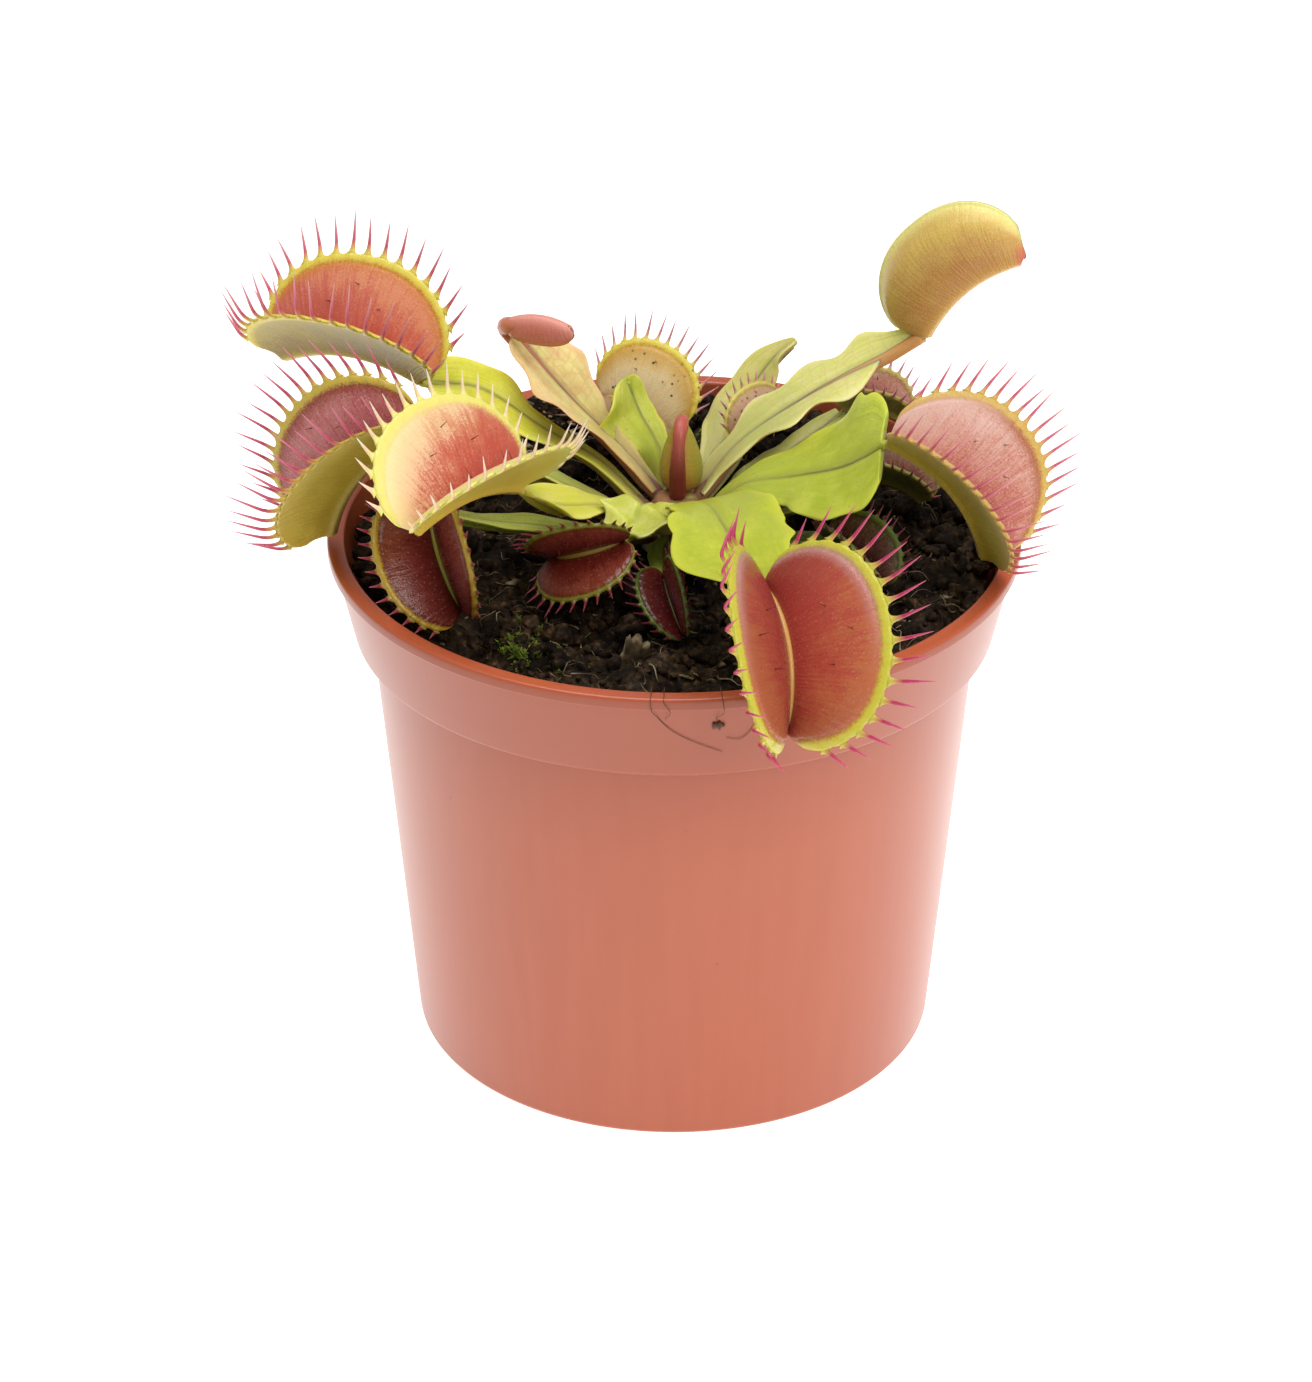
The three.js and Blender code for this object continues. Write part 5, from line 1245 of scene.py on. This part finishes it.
    # Over both sides lie the midrib, the bristles, grains of peat, the blush at the tip and what is dark:
    # dark hairs and feet, dusky lobes, and painted shade on the front right trap.
    skin = behind
    for factor, over in (
            (inner, front), (rib, linear(midrib)), (is_spike, spike), (strewn, linear("#2c2218")),
            (blush, linear("#c84c54")), (dark, linear("#6a1e1e"))):
        skin = add(tree, "ShaderNodeMix", {"Factor": factor, 6: skin, 7: over}, data_type="RGBA").outputs[2]
    grain = add(tree, "ShaderNodeBump", {"Height": glands, "Strength": 0.55, "Distance": 0.09 * MM})
    relief = add(tree, "ShaderNodeBump", {
        "Height": streaks, "Strength": 0.6, "Distance": 0.2 * MM, "Normal": grain.outputs[0]})
    shader = add(tree, "ShaderNodeBsdfPrincipled", {
        "Base Color": skin, "Roughness": share["wax"], "IOR": 1.45, "Normal": relief.outputs[0],
        "Subsurface Weight": 0.25, "Subsurface Radius": (1.0, 0.5, 0.3), "Subsurface Scale": 0.8 * MM,
        "Sheen Weight": 0.6 * bloom_and_sheen, "Sheen Roughness": 0.4, "Sheen Tint": linear("#f0dcd8")})
    add(tree, "ShaderNodeOutputMaterial", {"Surface": shader.outputs[0]})
    return material


def trap(name, spec, rng):
    """The lobes, their midrib, bristles and trigger hairs."""
    start, end = np.array(spec["start"], float), np.array(spec["end"], float)
    along = unit(end - start)
    mouth = turn_about(unit(UP - along * along[2]), along, math.radians(spec["roll"]))
    right = np.cross(along, mouth)
    length = np.linalg.norm(end - start)
    fan, curl = math.radians(spec["fan"]), math.radians(spec["curl"])
    large = spec["depth"] > LARGE_DEPTH
    feet = (np.arange(spec["teeth"]) * 2 + 1.5) / (2 * spec["teeth"] + 1) * 2 - 1
    pitch = 2 * (length / 2 + spec["depth"] * 0.6 * fan) / max(spec["teeth"], 10)
    shut = spec["curl"] < 0
    tinged = 0.8 * (name == "right_upper")
    band = BANDS.get(name, BAND)
    keel_height, keel_width = KEELS.get(name, PLAIN_KEEL)

    def depth_at(c):
        """The depth of a lobe at c, from -1 to 1 along the hinge."""
        kept = 1 - (1 - spec["end_depth"]) * np.abs(c) ** LOBE_ROUNDING
        if name == "centre_bud":
            # The bud is broad at its foot and comes to a point.
            past = c + 0.35
            kept = np.where(past > 0, 1 - 0.9 * np.abs(past / 1.35) ** 1.4, 1 - 0.6 * np.abs(past) ** 2)
        return spec["depth"] * kept * np.maximum(0, 1 - np.abs(c) ** 14) ** (1 / 14)

    def lobe_places(c, gone, hand):
        """Places on a lobe's middle sheet at c, from -1 to 1 along the hinge, and a way gone from it."""
        u = (c + 1) / 2
        depth = depth_at(c)
        v = gone / np.maximum(depth, 1e-6)
        first = math.radians(spec["open"][0 if hand > 0 else 1]) - curl / 2
        side = (math.cos(first) - np.cos(first + curl * v)) / curl
        rise = (np.sin(first + curl * v) - math.sin(first)) / curl
        if shut:
            # The lobes of a shut trap lie on each other at both of its ends and along the margin.
            side = side * np.sqrt(np.clip(1 - np.abs(c) ** 8, 0, 1))
            side = side * (1 - SHUT_CLOSING * smoothstep(v, SHUT_FROM, SHUT_FULL))
            side = side - SHUT_OVERLAP * np.abs(c) ** 30
        root = start + (end - start) * u[..., None] + mouth * (spec["bow"] * 4 * u * (1 - u))[..., None]
        turn = fan * c
        return (root + right * (hand * side * depth * np.cos(turn))[..., None]
                + mouth * (rise * depth * np.cos(turn))[..., None]
                + along * (gone * np.sin(turn))[..., None])

    t = np.linspace(-1, 1, FINE_COLUMNS if large else COLUMNS)
    c = np.clip(0.25 * t + 0.75 * np.sin(np.pi / 2 * t), -0.9995, 0.9995)
    depth = depth_at(c)
    if name == "front_right":
        # The smooth band widens where the two margins come down to the hinge's far end.
        band = band * (1 + 0.8 * smoothstep(c, 0.6, 1))
    # The rows of points crowd by the hinge and by the margin, and come closer in a small trap.
    scale = np.minimum(1, depth / 6)
    by_hinge = np.array([0, 0.15, 0.35, 0.6, 0.9, 1.3])
    by_margin = np.array([2.9, 2.4, 2.0, 1.75, 1.5, 1.3, 1.1, 0.85, 0.6, 0.42, 0.28, 0.16, 0.07, 0.02, 0])
    lining_rows = np.linspace(0, 1, 13)[1:-1]
    gone = np.concatenate([
        by_hinge[:, None] * scale,
        by_hinge[-1] * scale + lining_rows[:, None] * (depth - (by_hinge[-1] + by_margin[0]) * scale),
        depth - by_margin[:, None] * scale])
    # Small scallops between the bristles, deepest half way between two of them.
    if spec["teeth"]:
        nearest = np.min(np.abs(c[:, None] - feet), axis=1) / (2 / (2 * spec["teeth"] + 1))
        scallop = SCALLOP_SHARE * pitch / 2 * np.clip(nearest, 0, 1) ** 2 * scale
        crest = np.exp(-(nearest / 0.45) ** 2)
    else:
        scallop, crest = 0 * c, 0 * c
    rows = len(gone)
    from_margin = depth - gone
    fall = np.clip(1 - from_margin / (2.2 * scale), 0, 1) ** 2
    gone = gone - scallop * fall
    from_margin = from_margin / scale
    sheets = [lobe_places(np.broadcast_to(c, gone.shape), gone, hand) for hand in (-1, 1)]
    middle = np.concatenate([sheets[0][:0:-1], sheets[1]])
    normals = unit(np.cross(np.gradient(middle, axis=1), np.gradient(middle, axis=0)))
    if (normals[rows - 1, len(c) // 2] * mouth).sum() < 0:
        normals = -normals
    away = np.concatenate([from_margin[:0:-1], from_margin])
    hinge_gone = np.concatenate([gone[:0:-1], gone])
    thinned = np.sqrt(np.clip((1.02 - np.abs(c)) / 0.05, 0.1, 1))
    bead = LOBE_HALF_THICKNESS * np.sqrt(np.clip(1 - (1 - np.minimum(away / MARGIN_ROUNDING, 1)) ** 2, 0, 1))
    bead = bead * thinned
    opening = [math.tan(min(max(math.radians(a) - curl / 2, 0.05), 1.4)) for a in spec["open"]]
    slopes = np.concatenate([np.full(rows - 1, opening[1]), np.full(rows, opening[0])])[:, None]
    near = np.minimum(bead, 0.6 * slopes * hinge_gone + 0.02)
    groove = GROOVE_DEPTH * np.exp(-((away - GROOVE_PLACE * band) / GROOVE_WIDTH) ** 2)
    pads = PAD_HEIGHT * crest * np.exp(-((away - PAD_PLACE) / PAD_WIDTH) ** 2)
    on_keel = np.exp(-(hinge_gone / keel_width) ** 2)
    keel = keel_height * on_keel * thinned
    swollen = np.maximum(near - groove * (near > 0.2) + pads * (near > 0.15), 0.0)
    inner = middle + normals * swollen[..., None]
    outer = middle - normals * (bead + keel)[..., None]
    total, columns = inner.shape[:2]
    pile = Pile()
    # The section runs over both linings, then back over both outer sides. The rows at the margins are shared.
    loop = np.concatenate([inner, outer[-2:0:-1]])
    faces = [f[::-1] for f in grid_faces(len(loop), columns)]
    last = (len(loop) - 1) * columns
    faces += [[j + 1, j, last + j, last + j + 1] for j in range(columns - 1)]
    for k in range(total - 1):
        a, b = k, k + 1
        p, q = [0 if m == 0 else (2 * total - 2 - m) for m in (a, b)]
        a, b, p, q = [m * columns for m in (a, b, p, q)]
        ends = list(dict.fromkeys([a, b, q, p]))
        faces.append(ends)
        faces.append([m + columns - 1 for m in ends][::-1])

    def looped(grid):
        """A value for each point of the section, from its grid over both lobes."""
        return np.concatenate([grid, grid[-2:0:-1]]).ravel()

    share = hinge_gone / np.maximum(depth, 1e-6)
    left_lobe = np.arange(total)[:, None] < rows - 1
    dusky_and_shade = 0.6 * (name == "centre_bud") * (1 - smoothstep(c, -1, -0.3))
    if name == "back_middle":
        # The lobe that lies on the peat behind is dusky.
        dusky_and_shade = np.where(left_lobe, 0.6, 0)
    if name == "front_right":
        # Painted shade: the steeper lobe is darker, and the other darkens towards both ends of the hinge.
        shade_to_ends = 0.45 * smoothstep(c, 0.3, 1) + 0.28 * smoothstep(-c, 0.2, 0.9)
        dusky_and_shade = np.where(left_lobe, shade_to_ends, 0.34) * smoothstep(away, 1, 3)
    is_inner = np.concatenate([np.ones_like(away), np.zeros_like(away[-2:0:-1])]).ravel()
    lengthwise = np.broadcast_to(c * length / 2 * 1.6, away.shape)
    pile.add(loop.reshape(-1, 3), faces, edge=looped(away / band), hinge=looped(share),
             along=looped(lengthwise), inner=is_inner, rib=looped(on_keel) * (1 - is_inner),
             blush=looped(tinged * smoothstep(c, 0.86, 1.0) * (1 - smoothstep(share, 0.1, 0.6))),
             dark=looped(dusky_and_shade * np.ones_like(away)))

    # The midrib: a smooth ridge that fills the bottom of the fold between the two lobes.
    if not shut:
        right_first, left_first = [math.radians(a) - curl / 2 for a in spec["open"]]
        between = (right_first - left_first) / 2
        spine = mouth * math.cos(between) + right * math.sin(between)
        thick = RIDGES.get(name, PLAIN_RIDGE) * spec["depth"]
        thick = thick * np.sqrt(np.clip(1 - np.abs(c[::4]) ** 6, 0.05, 1))
        lift = thick / math.sin(max((right_first + left_first) / 2, 0.25)) * RIDGE_LIFT
        u = (c[::4] + 1) / 2
        base = start + (end - start) * u[:, None] + mouth * (spec["bow"] * 4 * u * (1 - u))[:, None]
        pile.add(*rod(base + spine * lift[:, None], thick, thick * 1.1, side=right, sides=RIB_SIDES), rib=1.0)

    if name == "centre_bud":
        # The young midrib is a thick red rib that hooks over the top of the folded lobes.
        u = np.linspace(0, 1, 6)[:-1]
        ridge = start + (end - start) * u[:, None] + mouth * (spec["bow"] * 4 * u * (1 - u) - 0.35)[:, None]
        hook = [
            end - along * 0.5 + mouth * 0.3, end - along * 0.2 + mouth * 1.3, end - along * 1.0 + mouth * 2.1]
        spots, _ = smooth_path([start - along * 0.6, *ridge, *hook], BUD_RIB_POINTS)
        steps = np.linspace(0, 1, BUD_RIB_POINTS)
        thick = np.interp(steps, *BUD_RIB) * np.sqrt(np.clip(1.02 - steps ** 16, 0, 1))
        pile.add(*rod(spots, thick, thick, side=right, sides=RIB_SIDES), rib=1.0,
                 dark=np.repeat(1 - smoothstep(steps, 0.2, 0.85), RIB_SIDES))

    # Bristles: each grows out of the margin on a broad flat foot, and bends towards the mouth.
    for hand in (-1, 1):
        lean = math.radians(spec["open"][0 if hand > 0 else 1]) + curl / 2
        for i, foot in enumerate(feet):
            k = 2 * i + 1
            tall = spec["tooth"] * (1 - BRISTLE_FALL_TO_ENDS * abs(foot) ** 3)
            tall *= 1 + BRISTLE_VARIATION * math.sin(5 * k) + rng.normal(0, 0.03)
            turn = fan * foot + rng.normal(0, 0.04)
            size = float(np.minimum(1, depth_at(np.array(foot)) / 6))
            here = np.array([foot - 0.01, foot, foot + 0.01])
            spots = lobe_places(here, depth_at(here) - BRISTLE_SUNK * size, hand)
            steps = np.linspace(0, 1, BRISTLE_RINGS) ** 1.3
            most = BRISTLE_BEND.get(name, PLAIN_BEND)[0 if hand > 0 else 1]
            bend = np.radians(8 + (most - 8) * smoothstep(steps, 0, 0.55)) + rng.normal(0, 0.06)
            ways = right * hand * np.sin(lean - bend)[:, None] + mouth * np.cos(lean - bend)[:, None]
            ways = ways * math.cos(turn) + along * math.sin(turn)
            tall *= BRISTLE_GROWTH.get(name, PLAIN_GROWTH)[0 if hand > 0 else 1]
            strides = np.diff(steps, prepend=0) * (tall + BRISTLE_SUNK * size)
            centres = spots[1] + np.cumsum(ways * strides[:, None], axis=0)
            gone_up = np.cumsum(strides)
            thin = 1 - steps ** 1.5
            foot_width = BRISTLE_FOOT * pitch * size
            body = BRISTLE_RADIUS * min(1, pitch / 1.7)
            wide = body * thin + foot_width * np.exp(-gone_up / (0.2 * pitch)) + 0.02
            flat = np.interp(gone_up / pitch, [0, 0.15, 0.4], [0.27, 0.24, body]) * thin + 0.02
            side = spots[2] - spots[0]
            pile.add(*rod(centres, wide, flat, side=side, sides=BRISTLE_SIDES),
                     bristle=np.repeat(0.02 + 0.98 * steps, BRISTLE_SIDES))

        # Trigger hairs: three fine dark hairs in a triangle, which stand square to the lining.
        if not shut and spec["depth"] > TRIGGER_DEPTH:
            for place, high in TRIGGER_PLACES:
                at = np.array([place])
                reach = depth_at(at) * high
                spot = lobe_places(at, reach, hand)[0]
                beside = lobe_places(at + 0.02, reach, hand)[0] - spot
                above = lobe_places(at, reach * 1.05, hand)[0] - spot
                out = unit(np.cross(beside, above))
                if (out * (start + (end - start) / 2 + mouth * spec["depth"] - spot)).sum() <= 0:
                    out = -out
                hair = spot + out * np.linspace(0.2, 0.11 * spec["depth"] + 0.35, 6)[:, None]
                radius = TRIGGER_RADIUS * np.linspace(1.3, 0.4, 6)
                pile.add(*rod(hair, radius, radius, side=beside, sides=6), dark=1.0)
    return pile


for leaf in LEAVES:
    if "trap" not in leaf:
        continue
    name = leaf["name"]
    rng = np.random.default_rng(sum(map(ord, name)) + 7)
    tissue = trap_tissue(
        f"trap_tissue_{name}", *TRAP_COLOURS[name], BLOOM_AND_SHEEN.get(name, PLAIN_BLOOM_AND_SHEEN), HAZE.get(name, PLAIN_HAZE),
        DRIFT.get(name, 0.0), SHINE.get(name, PLAIN_SHINE), GRIT.get(name, 0.0))
    slot = "trap_yellow" if name in ("left_front", "right_upper", "back_middle") else "trap_red"
    trap(name, leaf["trap"], rng).make(f"{name}_trap", tissue, slot, f"leaf_{name}_trap")

# Floor and light
# The pot stands on a floor of white acrylic in a white room, and the floor's glow is painted light. A soft
# panel hangs overhead and another stands at the front right, and both face the top of the pot.
FLOOR_SIZE, PANEL_SIZE, PANEL_AIM = 6000.0, 500.0, 60
PANELS = {"front_panel": ((430.0, -480.0, 620.0), 3.4), "top_panel": ((-60.0, 60.0, 850.0), 4.0)}
# The floor's glow is painted light: it is strongest under the pot, where it washes out the pot's shadow, and
# less from one distance to another.
ROOM_LIGHT, PAINTED_FLOOR_GLOW, PAINTED_FLOOR_GLOW_REACH, TONE_MM = 0.38, (0.9, 0.45), (40, 260), 400

# White acrylic, IOR about 1.5 and roughness 0.9: matt, with hardly any change of tone, and a painted glow
# as if lit from inside.
backdrop, tree = start_material("white_floor_painted_glow")
place = add(tree, "ShaderNodeNewGeometry").outputs["Position"]
tone = add(tree, "ShaderNodeTexNoise", {"Vector": place, "Scale": 1 / (TONE_MM * MM)})
shade = add(tree, "ShaderNodeValToRGB", {"Fac": tone.outputs["Fac"]},
            stops=[(0.3, "#f8f8f6"), (0.7, "#fafaf9")])
away = add(tree, "ShaderNodeVectorMath", {0: place}, operation="LENGTH")
# Painted light: the floor glows most under the pot.
shine = add(tree, "ShaderNodeMapRange", {
    "Value": away.outputs["Value"], "From Min": PAINTED_FLOOR_GLOW_REACH[0] * MM,
    "From Max": PAINTED_FLOOR_GLOW_REACH[1] * MM, "To Min": PAINTED_FLOOR_GLOW[0], "To Max": PAINTED_FLOOR_GLOW[1]})
shader = add(tree, "ShaderNodeBsdfPrincipled", {
    "Base Color": shade.outputs[0], "Roughness": 0.9, "Emission Color": linear("#ffffff"),
    "Emission Strength": shine.outputs[0]})
add(tree, "ShaderNodeOutputMaterial", {"Surface": shader.outputs[0]})
half = FLOOR_SIZE / 2 * MM
mesh = bpy.data.meshes.new("floor")
mesh.from_pydata([(-half, -half, 0), (half, -half, 0), (half, half, 0), (-half, half, 0)], [], [(0, 1, 2, 3)])
mesh.materials.append(backdrop)
floor = bpy.data.objects.new("floor", mesh)
bpy.context.scene.collection.objects.link(floor)

for name, (spot, power) in PANELS.items():
    panel = bpy.data.lights.new(name, "AREA")
    panel.energy, panel.size = power, PANEL_SIZE * MM
    lamp = bpy.data.objects.new(name, panel)
    lamp.location = [p * MM for p in spot]
    x, y, z = spot[0], spot[1], spot[2] - PANEL_AIM
    lamp.rotation_euler = (math.atan2(math.hypot(x, y), z), 0, math.atan2(y, x) + math.pi / 2)
    bpy.context.scene.collection.objects.link(lamp)
room = bpy.data.worlds.new("room")
room.use_nodes = True
room.node_tree.nodes.clear()
glow = add(room.node_tree, "ShaderNodeBackground", {"Color": linear("#ffffff"), "Strength": ROOM_LIGHT})
add(room.node_tree, "ShaderNodeOutputWorld", {"Surface": glow.outputs[0]})
bpy.context.scene.world = room
bpy.context.scene.view_settings.view_transform = "Standard"
